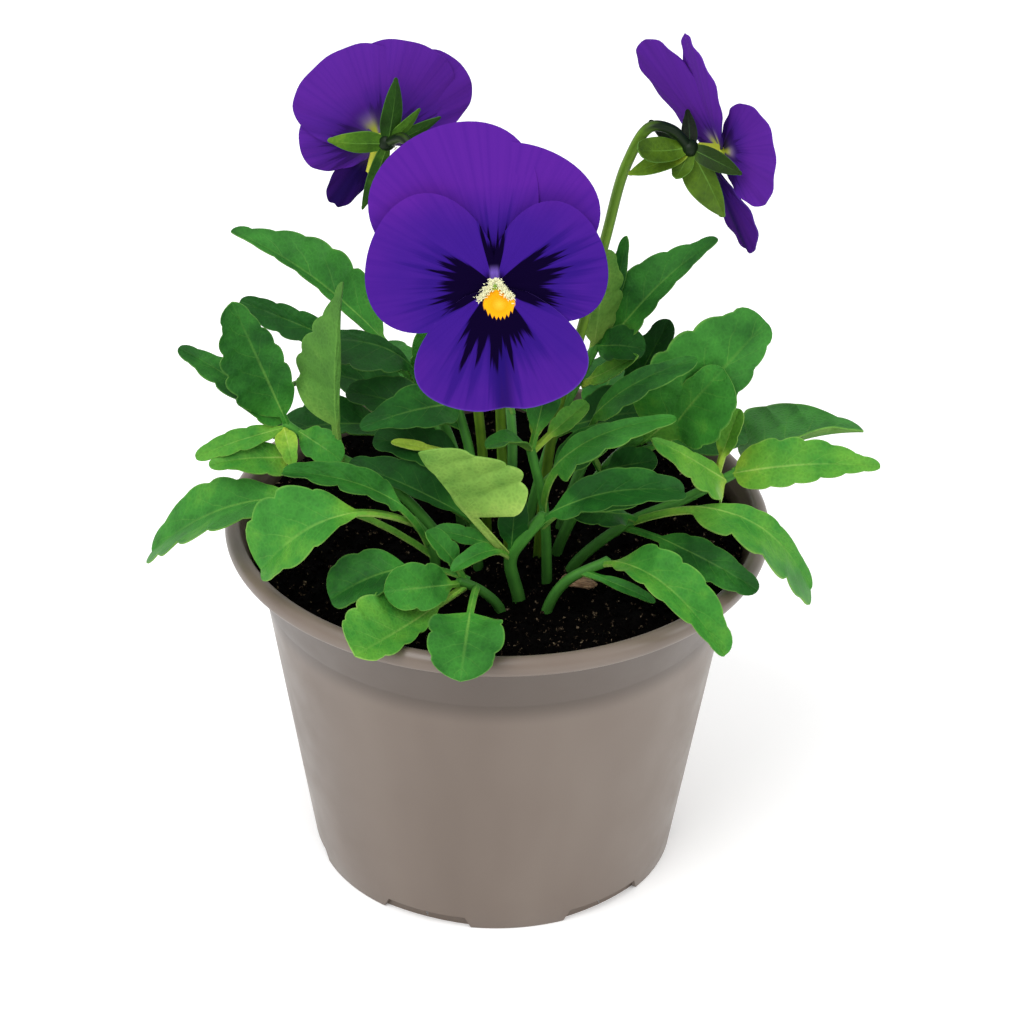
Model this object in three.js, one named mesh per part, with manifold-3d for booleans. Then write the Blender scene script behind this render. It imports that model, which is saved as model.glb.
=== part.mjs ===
// Potted pansy: a moulded plastic growing pot full of soil, one bushy plant and three open violet blooms.
// Millimetres, +Z up. The front bloom looks towards -Y, and +X is to its right.
// The origin is on the surface that the foot stands on, under the middle of the whole planter's box.
// Every place below is given from the pot's axis, which stands a little beside the origin.
import * as THREE from 'three';
import { mergeVertices } from 'three/addons/utils/BufferGeometryUtils.js';
import Module from 'manifold-3d';

const POT_AXIS = [-3.3, 3.4, 0];

// Pot
const RIM_RADIUS = 60;
const POT_HEIGHT = 83.8;
const LIP_BOTTOM = 79.6;
// The rolled lip in section from the band to the inner wall: how far in from the rim, and the height
const LIP_SECTION = [
  [3.4, LIP_BOTTOM - 0.4],
  [0.7, LIP_BOTTOM],
  [0, LIP_BOTTOM + 1.2],
  [0.2, LIP_BOTTOM + 2.9],
  [1.3, POT_HEIGHT - 0.2],
  [2.4, POT_HEIGHT],
  [3.4, POT_HEIGHT - 0.5],
  [4.5, LIP_BOTTOM],
];
const BAND_BOTTOM = 67;
const BAND_STEP = 0.5;
const FOOT_RADIUS = 40.3;
const WALL_TOP_RADIUS = 51.4;
const WALL = 1.2;
const FLOOR_BOTTOM = 3;
const FLOOR_TOP = 4.4;
const FOOT_INNER_RADIUS = 35.5;
const FOOT_EDGE = 0.5;
const FLOOR_EDGE = 0.8;
const NOTCH_FLOOR_RADIUS = 38.6;
const POT_SIDES = 36;
const NOTCHES = 6;
const NOTCH_HEIGHT = 3;
const NOTCH_SPAN = 26;
const NOTCH_FLARE = 1.35;
const NOTCH_REACH = 4;
const FIRST_NOTCH_ANGLE = -111.5;
const DRAIN_HOLES = 6;
const DRAIN_RADIUS = 3.5;
const DRAIN_CIRCLE = 27;
const DRAIN_SIDES = 8;

// Soil
const GAP = 0.3;
const SOIL_LEVEL = 76;
const SOIL_BANK = 2.8;
const BANK_START = 30;
const SOIL_EDGE = WALL_TOP_RADIUS + 2;
const SOIL_RINGS = [45, 36, 26, 14, 0];
const SOIL_SIDES = 26;
const MOUND_PLACE = [4, -14];
const MOUND_HEIGHT = 1.6;
const MOUND_SPREAD = 22.4;
const BIG_LUMPS = 0.5;
const SMALL_LUMPS = 0.35;
const HOLE_SIDES = 6;
const HOLE_PLAY = 0.6;
const HOLE_BOTTOM = 62;
const STEM_FOOT = HOLE_BOTTOM + GAP;

// Bark chip
const CHIP_PLACE = [18, -20.5];
const CHIP_SIZE = [8.5, 3.6, 1.8];
const CHIP_TURN = -12;
const CHIP_LIFT = 1.1;
const CHIP_TAPER = 0.55;

// Plant
const STEM_RADIUS = 1.3;
const STALK_RADIUS = 1.1;
const PETIOLE_HALF = 0.75;
const PETIOLE_THICKNESS = 1.5;
const MIDRIB_THICKNESS = 1.1;
const BLADE_THICKNESS = 0.7;
const PETAL_THICKNESS = 0.6;
const LEAF_TEETH = 3;
const TOOTH_DEPTH = 0.14;
const LEAF_SHAPE = [0.8, 0.8];
const LEAF_FOLD = 0.35;
const LEAF_ARCH = 3;
const LEAF_STALK = 0.2;
const STALK_BLEND = 0.3;
const TIP_SHARE = 0.985;
const TIP_START = 0.9;
const TIP_HALF = 0.35;

const wasm = await Module();
wasm.setup();

const vec = (p) => new THREE.Vector3(p[0], p[1], p[2]);
const radians = THREE.MathUtils.degToRad;

// A closed three.js geometry as a solid
function solid(geometry) {
  const bare = geometry.clone();
  bare.deleteAttribute('normal');
  bare.deleteAttribute('uv');
  const merged = mergeVertices(bare, 1e-4);
  const vertProperties = new Float32Array(merged.attributes.position.array);
  const triVerts = new Uint32Array(merged.index.array);
  return new wasm.Manifold(new wasm.Mesh({ numProp: 3, vertProperties, triVerts }));
}

// A geometry from lists of points and triangles
function shell(points, triangles) {
  const geometry = new THREE.BufferGeometry();
  geometry.setAttribute('position', new THREE.Float32BufferAttribute(points.flat(), 3));
  geometry.setIndex(triangles.flat());
  return geometry;
}

function joined(solids) {
  return solids.slice(1).reduce((whole, next) => whole.add(next), solids[0]);
}

function geometryOf(body) {
  const mesh = body.getMesh();
  const geometry = new THREE.BufferGeometry();
  geometry.setAttribute('position', new THREE.BufferAttribute(mesh.vertProperties, 3));
  geometry.setIndex(new THREE.BufferAttribute(mesh.triVerts, 1));
  geometry.computeVertexNormals();
  return geometry;
}

// The way of a stem: straight up through its hole in the soil, then along its own path
function rooted({ root, path }) {
  const heights = [STEM_FOOT, SOIL_LEVEL - 5, SOIL_LEVEL + 2, SOIL_LEVEL + 5];
  const upright = heights.map((z) => [...root, z]);
  return [...upright, ...path];
}

// A round bar of even thickness along a smooth curve
function bar(points, radius, sides = 6, steps = 10) {
  const curve = new THREE.CatmullRomCurve3(points.map(vec));
  const section = new THREE.Shape();
  for (let i = 0; i < sides; i += 1) {
    const angle = (2 * Math.PI * i) / sides;
    const point = [radius * Math.cos(angle), radius * Math.sin(angle)];
    if (i === 0) section.moveTo(...point);
    else section.lineTo(...point);
  }
  return solid(new THREE.ExtrudeGeometry(section, { steps, bevelEnabled: false, extrudePath: curve }));
}

function ball(centre, radius, across = 7, down = 4) {
  const geometry = new THREE.SphereGeometry(radius, across, down);
  geometry.translate(...centre);
  return solid(geometry);
}

function cylinder(centre, radius, bottom, top, sides = 12) {
  const geometry = new THREE.CylinderGeometry(radius, radius, top - bottom, sides);
  geometry.rotateX(Math.PI / 2);
  geometry.translate(centre[0], centre[1], (top + bottom) / 2);
  return solid(geometry);
}

// The pot: a tapered wall, a flared band above a small step, a rolled lip and a notched foot
function makePot() {
  const profile = [
    [0, FLOOR_BOTTOM],
    [FOOT_INNER_RADIUS - FOOT_EDGE, FLOOR_BOTTOM],
    [FOOT_INNER_RADIUS, 0],
    [FOOT_RADIUS - FOOT_EDGE, 0],
    [FOOT_RADIUS, FOOT_EDGE],
    [WALL_TOP_RADIUS, BAND_BOTTOM],
    [WALL_TOP_RADIUS + BAND_STEP, BAND_BOTTOM + BAND_STEP],
    ...LIP_SECTION.map(([inward, z]) => [RIM_RADIUS - inward, z]),
    [WALL_TOP_RADIUS - WALL, BAND_BOTTOM],
    [FOOT_RADIUS - WALL + FLOOR_EDGE, FLOOR_TOP + FLOOR_EDGE],
    [FOOT_RADIUS - WALL - FLOOR_EDGE, FLOOR_TOP],
    [0, FLOOR_TOP],
  ];
  const geometry = new THREE.LatheGeometry(profile.map(([r, z]) => new THREE.Vector2(r, z)), POT_SIDES);
  geometry.rotateX(Math.PI / 2);
  let pot = solid(geometry);
  for (let i = 0; i < NOTCHES; i += 1) {
    const turn = radians(FIRST_NOTCH_ANGLE + (360 * i) / NOTCHES);
    const arc = new THREE.Shape();
    const half = radians(NOTCH_SPAN / 2);
    arc.absarc(0, 0, FOOT_RADIUS + NOTCH_REACH, -half, half, false);
    arc.absarc(0, 0, NOTCH_FLOOR_RADIUS, half, -half, true);
    const options = { depth: 2 * NOTCH_HEIGHT, bevelEnabled: false, curveSegments: 6 };
    const cutter = new THREE.ExtrudeGeometry(arc, options);
    const position = cutter.attributes.position;
    for (let k = 0; k < position.count; k += 1) {
      if (position.getZ(k) < NOTCH_HEIGHT) position.setY(k, position.getY(k) * NOTCH_FLARE);
    }
    cutter.translate(0, 0, -NOTCH_HEIGHT);
    cutter.rotateZ(turn);
    pot = pot.subtract(solid(cutter));
  }
  for (let i = 0; i < DRAIN_HOLES; i += 1) {
    const turn = radians(FIRST_NOTCH_ANGLE + (360 * i) / DRAIN_HOLES);
    const centre = [DRAIN_CIRCLE * Math.cos(turn), DRAIN_CIRCLE * Math.sin(turn)];
    pot = pot.subtract(cylinder(centre, DRAIN_RADIUS, 0, 2 * FLOOR_TOP, DRAIN_SIDES));
  }
  return pot;
}

// Height of the soil over the pot's foot: a low mound at the plant, lumps, and a bank along the wall
function soilHeight(x, y) {
  const off = Math.hypot(x - MOUND_PLACE[0], y - MOUND_PLACE[1]) / MOUND_SPREAD;
  const mound = MOUND_HEIGHT * Math.exp(-(off ** 2));
  const big = BIG_LUMPS * Math.sin(0.42 * x + 0.9) * Math.cos(0.37 * y);
  const small = SMALL_LUMPS * Math.sin(0.83 * x - 0.61 * y);
  const bank = SOIL_BANK * THREE.MathUtils.smoothstep(Math.hypot(x, y), BANK_START, WALL_TOP_RADIUS);
  return SOIL_LEVEL + mound + big + small + bank;
}

// The soil fills the pot up to a little under the lip and has a plain hole for each stem
function makeSoil(holes) {
  const wallRadius = (z) => {
    const share = (z - FLOOR_TOP) / (BAND_BOTTOM - FLOOR_TOP);
    return THREE.MathUtils.lerp(FOOT_RADIUS - WALL, WALL_TOP_RADIUS - WALL, share) - 2 * GAP;
  };
  const bottom = FLOOR_TOP + GAP;
  const top = SOIL_LEVEL + SOIL_BANK;
  const profile = [
    [0, bottom],
    [wallRadius(bottom) - 2 * FLOOR_EDGE, bottom],
    [wallRadius(BAND_BOTTOM), BAND_BOTTOM],
    [SOIL_EDGE, SOIL_LEVEL],
    [SOIL_EDGE - GAP, top],
    ...SOIL_RINGS.map((r) => [r, top]),
  ];
  const geometry = new THREE.LatheGeometry(profile.map(([r, z]) => new THREE.Vector2(r, z)), SOIL_SIDES);
  geometry.rotateX(Math.PI / 2);
  const position = geometry.attributes.position;
  for (let k = 0; k < position.count; k += 1) {
    if (position.getZ(k) > SOIL_LEVEL + GAP) {
      position.setZ(k, soilHeight(position.getX(k), position.getY(k)));
    }
  }
  let soil = solid(geometry);
  for (const { centre, radius } of holes) {
    soil = soil.subtract(cylinder(centre, radius + HOLE_PLAY, HOLE_BOTTOM, POT_HEIGHT, HOLE_SIDES));
  }
  return soil;
}

// A wedge-shaped chip of bark that lies on the soil
function makeChip() {
  const [length, width, height] = CHIP_SIZE;
  const outline = new THREE.Shape();
  outline.moveTo(-length / 2, -width / 2);
  outline.lineTo(length * 0.3, -width / 2);
  outline.lineTo(length / 2, 0);
  outline.lineTo(length * 0.2, width / 2);
  outline.lineTo(-length * 0.4, width * 0.3);
  const geometry = new THREE.ExtrudeGeometry(outline, { depth: height, bevelEnabled: false });
  const position = geometry.attributes.position;
  for (let k = 0; k < position.count; k += 1) {
    if (position.getZ(k) > height / 2 && position.getX(k) > 0) position.setZ(k, height * CHIP_TAPER);
  }
  const [x, y] = CHIP_PLACE;
  geometry.rotateZ(radians(CHIP_TURN));
  geometry.translate(x, y, soilHeight(x, y) + CHIP_LIFT);
  return solid(geometry);
}

// Half-width of a leaf from its base, 0, to its tip, 1, before the teeth
function bladeProfile(t, shape) {
  const [rise, fall] = shape;
  const peak = rise / (rise + fall);
  const at = (x) => x ** rise * (1 - x) ** fall;
  return at(t) / at(peak);
}

// One leaf: a stalk that widens into a blade with blunt teeth, folded a little along its midrib
function makeLeaf(leaf) {
  const base = vec(leaf.from);
  const tip = vec(leaf.tip);
  const chord = tip.clone().sub(base).normalize();
  const face = vec(leaf.face);
  const up = face.clone().addScaledVector(chord, -face.dot(chord)).normalize();
  const middle = base.clone().add(tip).multiplyScalar(0.5);
  middle.addScaledVector(up, 2 * (leaf.arch ?? LEAF_ARCH));
  const midrib = new THREE.QuadraticBezierCurve3(base, middle, tip);
  const stalk = leaf.stalk ?? LEAF_STALK;
  const teeth = leaf.teeth ?? LEAF_TEETH;
  const fold = leaf.fold ?? LEAF_FOLD;
  const shape = leaf.shape ?? LEAF_SHAPE;
  const [near, far] = leaf.halves ?? [1, 1];
  const rows = Math.max(3, teeth + 2);
  const stations = stalk > 0 ? [0, stalk / 2] : [];
  for (let i = 0; i <= rows; i += 1) {
    stations.push(stalk + (1 - stalk) * (i / rows));
  }
  const points = [];
  stations.forEach((s) => {
    const t = Math.max(0, (s - stalk) / (1 - stalk));
    const toothed = teeth > 0 && t > 0 && t < 1;
    const notch = toothed ? 1 - TOOTH_DEPTH * (1 - Math.abs(Math.sin(Math.PI * teeth * t))) : 1;
    const spread = (leaf.width / 2) * bladeProfile(Math.min(t, TIP_SHARE), shape) * notch;
    const half = Math.max(spread, t > TIP_START ? TIP_HALF : PETIOLE_HALF);
    const blend = THREE.MathUtils.smoothstep(t, 0, STALK_BLEND);
    const core = THREE.MathUtils.lerp(PETIOLE_THICKNESS, MIDRIB_THICKNESS, blend) / 2;
    const edge = BLADE_THICKNESS / 2;
    const at = midrib.getPoint(s);
    const along = midrib.getTangent(s);
    const normal = up.clone().addScaledVector(along, -up.dot(along)).normalize();
    const side = new THREE.Vector3().crossVectors(along, normal);
    const lift = half * fold * blend;
    const section = [
      [-half * near, lift * near + edge],
      [0, core],
      [half * far, lift * far + edge],
      [half * far, lift * far - edge],
      [0, -core],
      [-half * near, lift * near - edge],
    ];
    section.forEach(([across, height]) => {
      const point = at.clone().addScaledVector(side, across).addScaledVector(normal, height);
      points.push(point.toArray());
    });
  });
  const ring = 6;
  const triangles = [];
  const last = ring * (stations.length - 1);
  triangles.push([0, 4, 1], [0, 5, 4], [1, 3, 2], [1, 4, 3]);
  triangles.push([last, last + 1, last + 4], [last, last + 4, last + 5]);
  triangles.push([last + 1, last + 2, last + 3], [last + 1, last + 3, last + 4]);
  for (let i = 0; i + 1 < stations.length; i += 1) {
    for (let j = 0; j < ring; j += 1) {
      const a = i * ring + j;
      const b = i * ring + ((j + 1) % ring);
      if (j < 3) triangles.push([a, b, b + ring], [a, b + ring, a + ring]);
      else triangles.push([a, b, a + ring], [b, b + ring, a + ring]);
    }
  }
  return solid(shell(points, triangles));
}

// The place and turn of a petal: x runs from its claw to its tip, z looks out of its upper side
function petalFrame(claw, reach, face) {
  const x = reach.clone().normalize();
  const z = face.clone();
  z.addScaledVector(x, -z.dot(x)).normalize();
  const y = new THREE.Vector3().crossVectors(z, x);
  return new THREE.Matrix4().makeBasis(x, y, z).setPosition(claw);
}

// The rings of a petal as shares of its size, and how far its round edge goes about its claw
const PETAL_RINGS = [0.42, 1];
const PETAL_SPANS = 12;
const PETAL_OPENING = 0.84;
const RUFFLES = 3.5;
const RUFFLE_HEIGHT = 0.5;
const LAYER_RISE = 2.4;
const PETAL_BROAD = 0.2;

// One petal: a fan from its narrow claw to a broad round edge, cupped, bent and ruffled
function makePetal(bloom, petal) {
  const claw = vec(bloom.throat).add(vec(petal.claw ?? [0, 0, 0]));
  const reach = vec(bloom.throat).add(vec(petal.tip)).sub(claw);
  const frame = petalFrame(claw, reach, vec(petal.face ?? bloom.face));
  const length = reach.length();
  const { half, layer = 0, bend = 0, cup = 0, broad = PETAL_BROAD, phase = 0 } = petal;
  const points = [];
  const place = (x, y, z) => {
    points.push(new THREE.Vector3(x, y, z + PETAL_THICKNESS / 2).applyMatrix4(frame).toArray());
    points.push(new THREE.Vector3(x, y, z - PETAL_THICKNESS / 2).applyMatrix4(frame).toArray());
  };
  place(0, 0, 0);
  for (const share of PETAL_RINGS) {
    for (let i = 0; i <= PETAL_SPANS; i += 1) {
      const tau = PETAL_OPENING * (1 - (2 * i) / PETAL_SPANS);
      const along = (length * share * (1 + Math.cos(Math.PI * tau))) / 2;
      const across = half * share * Math.sin(Math.PI * tau) * (1 + broad * Math.cos(Math.PI * tau));
      const rise = layer * Math.min(1, LAYER_RISE * share);
      const lean = bend * (along / length) ** 2 + cup * (across / half) ** 2;
      const wave = RUFFLE_HEIGHT * share ** 3 * Math.sin(Math.PI * (RUFFLES * tau + phase));
      place(along, across, rise + lean + wave);
    }
  }
  const triangles = [];
  const at = (ringIndex, i) => 2 + 2 * (ringIndex * (PETAL_SPANS + 1) + i);
  const quad = (a, b, c, d) => triangles.push([a, b, c], [a, c, d]);
  for (let i = 0; i < PETAL_SPANS; i += 1) {
    triangles.push([0, at(0, i + 1), at(0, i)], [1, at(0, i) + 1, at(0, i + 1) + 1]);
  }
  for (let j = 0; j + 1 < PETAL_RINGS.length; j += 1) {
    for (let i = 0; i < PETAL_SPANS; i += 1) {
      const [a, b, c, d] = [at(j, i), at(j, i + 1), at(j + 1, i + 1), at(j + 1, i)];
      triangles.push([a, b, c], [a, c, d]);
      triangles.push([a + 1, c + 1, b + 1], [a + 1, d + 1, c + 1]);
    }
    quad(at(j, 0), at(j + 1, 0), at(j + 1, 0) + 1, at(j, 0) + 1);
    quad(at(j + 1, PETAL_SPANS), at(j, PETAL_SPANS), at(j, PETAL_SPANS) + 1, at(j + 1, PETAL_SPANS) + 1);
  }
  const outer = PETAL_RINGS.length - 1;
  for (let i = 0; i < PETAL_SPANS; i += 1) {
    quad(at(outer, i), at(outer, i + 1), at(outer, i + 1) + 1, at(outer, i) + 1);
  }
  quad(0, at(0, 0), at(0, 0) + 1, 1);
  quad(at(0, PETAL_SPANS), 0, 1, at(0, PETAL_SPANS) + 1);
  return solid(shell(points, triangles));
}

const THROAT_RADIUS = 1.9;
const NECK_RADIUS = 1.3;
const SPUR_RADIUS = 1.1;
const RECEPTACLE_RADIUS = 1.9;
const SEPAL = { stalk: 0, fold: 0.2, teeth: 0, arch: -1, shape: [0.5, 0.8] };

// The five petals of a bloom, which meet in the throat, its neck on the receptacle, and the spur
function makePetals(bloom) {
  const throat = vec(bloom.throat);
  const beside = (offset) => throat.clone().add(vec(offset)).toArray();
  const petals = bloom.petals.map((petal) => makePetal(bloom, petal));
  const back = vec(bloom.receptacle);
  const reach = back.length() - RECEPTACLE_RADIUS - GAP;
  const neckEnd = back.clone().setLength(reach).toArray();
  const neck = bar([throat.toArray(), beside(neckEnd)], NECK_RADIUS, 6, 2);
  const spur = bar(bloom.spur.map(beside), bloom.spurRadius ?? SPUR_RADIUS, 6, 4);
  return joined([...petals, ball(throat.toArray(), THROAT_RADIUS), neck, spur]);
}

// The green flower stalk, its hooked end, the receptacle and the pointed sepals with their lobes
function makeStalk(bloom) {
  const throat = vec(bloom.throat);
  const centre = throat.clone().add(vec(bloom.receptacle)).toArray();
  const hook = bar([...rooted(bloom), centre], STALK_RADIUS, 6, 14);
  const sepals = bloom.sepals.map((sepal) => {
    const tip = throat.clone().add(vec(sepal.tip)).toArray();
    return makeLeaf({ ...SEPAL, ...sepal, from: centre, tip });
  });
  return joined([ball(centre, RECEPTACLE_RADIUS), hook, ...sepals]);
}

// A leafy shoot: its stem and every leaf and stipule on it in one piece
function makeShoot(shoot) {
  const stem = bar(rooted(shoot), shoot.radius ?? STEM_RADIUS, 6, 7);
  return joined([stem, ...shoot.leaves.map(makeLeaf)]);
}

// Each shoot stands in the soil at its root; a leaf runs from its place on the stem to its tip,
// and its face is the way that its upper side looks
const SHOOTS = {
  left_shoot: {
    root: [-8, -13],
    path: [[-22, -11, 96], [-38, -9, 105], [-46, -9, 111]],
    leaves: [
      {
        from: [-45, -9, 110], tip: [-56.5, -12.5, 142.5], face: [0.2, -1, 0],
        width: 14.5, stalk: 0.1, arch: -0.5, teeth: 4, shape: [0.55, 0.7], halves: [1.2, 0.8],
      },
      {
        from: [-44, -8, 109], tip: [-69, -1.5, 125], face: [0.4, -0.5, 0.8],
        width: 9.5, stalk: 0.1, arch: 2, shape: [0.4, 0.7], halves: [1.25, 0.8],
      },
      {
        from: [-33, -10, 100], tip: [-33, -12, 147.5], face: [0.4, 0.9, 0],
        width: 12, stalk: 0.28, arch: -4, shape: [0.6, 1.3], halves: [0.15, 2],
      },
      {
        from: [-45, -9, 110], tip: [-65, -13, 104.5], face: [0, -0.7, 0.7],
        width: 5.5, stalk: 0.05, arch: 2.5, teeth: 2, shape: [0.8, 0.75], halves: [1.05, 0.95],
      },
      {
        from: [-44, -11, 103], tip: [-62, -16, 104.5], face: [0.2, -0.5, 0.9],
        width: 9, stalk: 0.1, arch: 2, teeth: 2, shape: [0.4, 0.95], halves: [1.25, 0.8],
      },
      {
        from: [-46, -10, 110], tip: [-44, -15.5, 104.5], face: [0, -0.7, 0.8],
        width: 5, stalk: 0, arch: 1.5, teeth: 0, shape: [0.7, 1.1], halves: [0.9, 1.1],
      },
      {
        from: [-43, -9, 109], tip: [-33.5, -15, 105.5], face: [0.1, -0.8, 0.6],
        width: 8, stalk: 0.05, arch: 1, teeth: 2,
      },
    ],
  },
  low_left_shoot: {
    root: [-13, -20],
    path: [[-14, -22, 89], [-18, -25, 97]],
    leaves: [
      {
        from: [-13, -21, 85], tip: [-75, -14, 81], face: [-0.1, -0.2, 1],
        width: 21, stalk: 0.42, arch: 16.5, teeth: 4, shape: [1.3, 0.95], halves: [1.3, 0.75],
      },
      {
        from: [-18, -25, 96], tip: [-50, -34, 89.5], face: [0, -0.5, 0.8],
        width: 18, stalk: 0.3, arch: 14, shape: [1.45, 0.7], halves: [0.8, 1.25],
      },
      {
        from: [-15, -23, 90], tip: [-45.5, -26, 109], face: [0.5, -0.5, 0.7],
        width: 8.5, stalk: 0.3, arch: 10, shape: [0.85, 0.8], fold: 0.9, halves: [1.4, 0.7],
      },
    ],
  },
  front_left_shoot: {
    root: [1, -29],
    path: [[-3, -31, 83], [-8, -33, 87]],
    leaves: [
      {
        from: [-8, -33, 86], tip: [-23.5, -46, 92], face: [0.7, -0.6, 0.5],
        width: 11, stalk: 0.12, arch: 2, shape: [0.85, 0.5], halves: [0.95, 1.05],
      },
      {
        from: [-6, -32, 85], tip: [-29, -61.5, 86], face: [0.3, -0.2, 0.9],
        width: 14, stalk: 0.25, arch: -1, shape: [0.8, 0.45], halves: [0.7, 1.4],
      },
      {
        from: [-4, -31, 84], tip: [-7, -66, 83], face: [0, -0.45, 0.9],
        width: 17, stalk: 0.5, arch: 5, shape: [0.35, 0.45],
      },
      {
        from: [-7, -32, 87], tip: [-15, -33, 99], face: [0.6, -0.5, 0.6],
        width: 6, arch: 1, teeth: 2,
      },
      {
        from: [-6, -31, 86], tip: [-35, -40, 86], face: [0.1, -0.2, 1],
        width: 14.5, stalk: 0.45, arch: 6, shape: [0.7, 0.55], halves: [1.1, 0.95],
      },
    ],
  },
  front_shoot: {
    root: [5, -25],
    path: [[3, -26, 88], [6, -28, 95], [10, -29, 101]],
    radius: 1.6,
    leaves: [
      {
        from: [3, -26, 88], tip: [-16.5, -34.5, 119.5], face: [0.4, 0.8, 0.4],
        width: 16.5, stalk: 0.42, arch: -0.5, teeth: 4, shape: [0.2, 0.5], halves: [2.1, 0.15],
      },
      {
        from: [10, -29, 100], tip: [39.5, -30, 108], face: [-0.2, -0.6, 0.8],
        width: 10, stalk: 0.08, arch: 7.5, shape: [0.65, 0.6], fold: 0.8, halves: [0.8, 1.25],
      },
      {
        from: [3, -26, 89], tip: [4, -28, 106], face: [0, -0.9, 0.3],
        width: 7, arch: 1, teeth: 2,
      },
      {
        from: [3, -26, 89], tip: [-13.5, -27.5, 96], face: [0, -0.5, 0.8],
        width: 4.5, stalk: 0.3, arch: 2, teeth: 2,
      },
      {
        from: [3, -26, 88], tip: [-9.5, -36, 91], face: [-0.1, -0.4, 0.9],
        width: 4.5, stalk: 0.25, arch: 4, teeth: 0,
      },
    ],
  },
  centre_shoot: {
    root: [11, -18],
    path: [[10, -19, 97], [7, -20, 112]],
    leaves: [
      {
        from: [10, -19, 97], tip: [37.5, -22, 121.5], face: [-0.6, -0.5, 0.6],
        width: 8, stalk: 0.3, arch: 11.5, shape: [0.4, 0.75], fold: 0.5, halves: [0.55, 1.85],
      },
      {
        from: [7, -20, 112], tip: [-2.5, -24, 114.5], face: [0.2, 0.2, 1],
        width: 9, stalk: 0, arch: 1.5, teeth: 2, shape: [0.85, 0.95], halves: [1.25, 0.8],
      },
      {
        from: [7, -20, 111], tip: [12, -13, 133], face: [0, -0.8, 0.5],
        width: 8, arch: 1, teeth: 2,
      },
      {
        from: [10, -19, 92], tip: [30, -25, 102], face: [0, -0.3, 0.9],
        width: 10, stalk: 0.3, arch: 4, teeth: 2,
      },
      {
        from: [9, -19, 102], tip: [26, -15, 114], face: [-0.2, -0.5, 0.8],
        width: 9, arch: 2, teeth: 2,
      },
      {
        from: [7, -20, 111], tip: [19, -12, 119], face: [-0.3, -0.8, 0.5],
        width: 5, stalk: 0.3, arch: 1, teeth: 2,
      },
      {
        from: [7, -20, 111], tip: [10.5, -14, 119.5], face: [-0.5, -0.8, 0.2],
        width: 4, stalk: 0.3, arch: 1, teeth: 0,
      },
    ],
  },
  inner_left_shoot: {
    root: [-4, -12],
    path: [[-5, -11, 90], [-6, -8, 103], [-9, -5, 114]],
    leaves: [
      {
        from: [-9, -5, 114], tip: [-29.5, -14, 113], face: [0.2, -0.6, 0.8],
        width: 11.5, stalk: 0, shape: [0.45, 1], halves: [0.95, 1.05],
      },
      {
        from: [-5, -11.5, 88], tip: [-32, -13.5, 104], face: [0.4, -0.7, 0.6],
        width: 7, arch: 3.5, shape: [0.65, 0.95], halves: [0.55, 1.75],
      },
      {
        from: [-8, -6, 109], tip: [-33, 0, 114], face: [0, -0.5, 0.85],
        width: 11, stalk: 0.1, arch: 2, teeth: 2,
      },
      {
        from: [-6, -8, 100], tip: [-27, -7, 106], face: [0, -0.5, 0.85],
        width: 11, stalk: 0.1, teeth: 2,
      },
      {
        from: [-6, -8, 102], tip: [-23, -12, 108.5], face: [0, -0.6, 0.8],
        width: 2.4, stalk: 0.5, arch: 1, teeth: 0,
      },
    ],
  },
  right_shoot: {
    root: [16, -13],
    path: [[28, -14, 90], [40, -12, 95], [52, -8, 100]],
    leaves: [
      {
        from: [50, -8, 99], tip: [82.5, -10, 103], face: [-0.1, -0.7, 0.7],
        width: 11.5, stalk: 0.05, arch: 5.5, teeth: 4, shape: [0.4, 0.9], halves: [1.1, 0.9],
      },
      {
        from: [51, -8, 100], tip: [79.5, 1.5, 105], face: [-0.3, 0.4, 0.9],
        width: 21.5, stalk: 0.15, arch: 2.5, shape: [0.35, 0.9], halves: [2, 0.5],
      },
      {
        from: [30, -14, 91], tip: [68, -21.5, 78.5], face: [0.2, -0.3, 0.9],
        width: 13, stalk: 0.25, arch: 13.5, teeth: 4, shape: [0.7, 0.65], halves: [0.5, 2],
      },
      {
        from: [28, -14, 89], tip: [56, -33, 85.5], face: [-0.3, -0.5, 0.8],
        width: 9, stalk: 0.3, arch: 4.5, shape: [0.5, 0.6], halves: [0.85, 1.15],
      },
      {
        from: [49, -9.5, 98.5], tip: [32.5, -22.5, 116.5], face: [-0.1, -0.6, 0.8],
        width: 11, stalk: 0, arch: 1, teeth: 2, shape: [0.35, 0.7], halves: [1.5, 0.35],
      },
      {
        from: [47, -10, 98], tip: [52, -5, 114], face: [-0.5, -0.8, 0.2],
        width: 5.5, stalk: 0.35, arch: 1, teeth: 2,
      },
      {
        from: [30, -14, 91], tip: [16, -23, 97.5], face: [0, -0.5, 0.8],
        width: 9, arch: 2, teeth: 2, shape: [0.6, 0.7],
      },
    ],
  },
  front_right_shoot: {
    root: [11, -29],
    path: [[15, -29, 84.5], [24, -29, 90]],
    leaves: [
      {
        from: [23, -29, 89], tip: [48.5, -51.5, 81], face: [-0.1, -0.4, 0.9],
        width: 11, stalk: 0.08, arch: 10.5, teeth: 4, shape: [0.75, 0.7], fold: 0.7, halves: [1.1, 0.9],
      },
      {
        from: [18, -29, 87], tip: [34, -36, 84], face: [0, -0.5, 0.9],
        width: 3, arch: 1, teeth: 0,
      },
    ],
  },
  back_right_shoot: {
    root: [13, -6],
    path: [[22, -4, 96], [31, -3, 105], [37, -4, 106]],
    leaves: [
      {
        from: [31, -3, 104], tip: [57, 1.5, 132], face: [-0.1, -1, 0.2],
        width: 19.5, stalk: 0.1, arch: 6, teeth: 4, shape: [0.45, 0.55], halves: [1.45, 0.7],
      },
      {
        from: [36.5, -4, 105.5], tip: [48, -8, 125.5], face: [-0.6, -0.8, 0.2],
        width: 13.5, stalk: 0.1, arch: 2.5, shape: [0.7, 0.45], halves: [0.6, 1.65],
      },
      {
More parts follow.
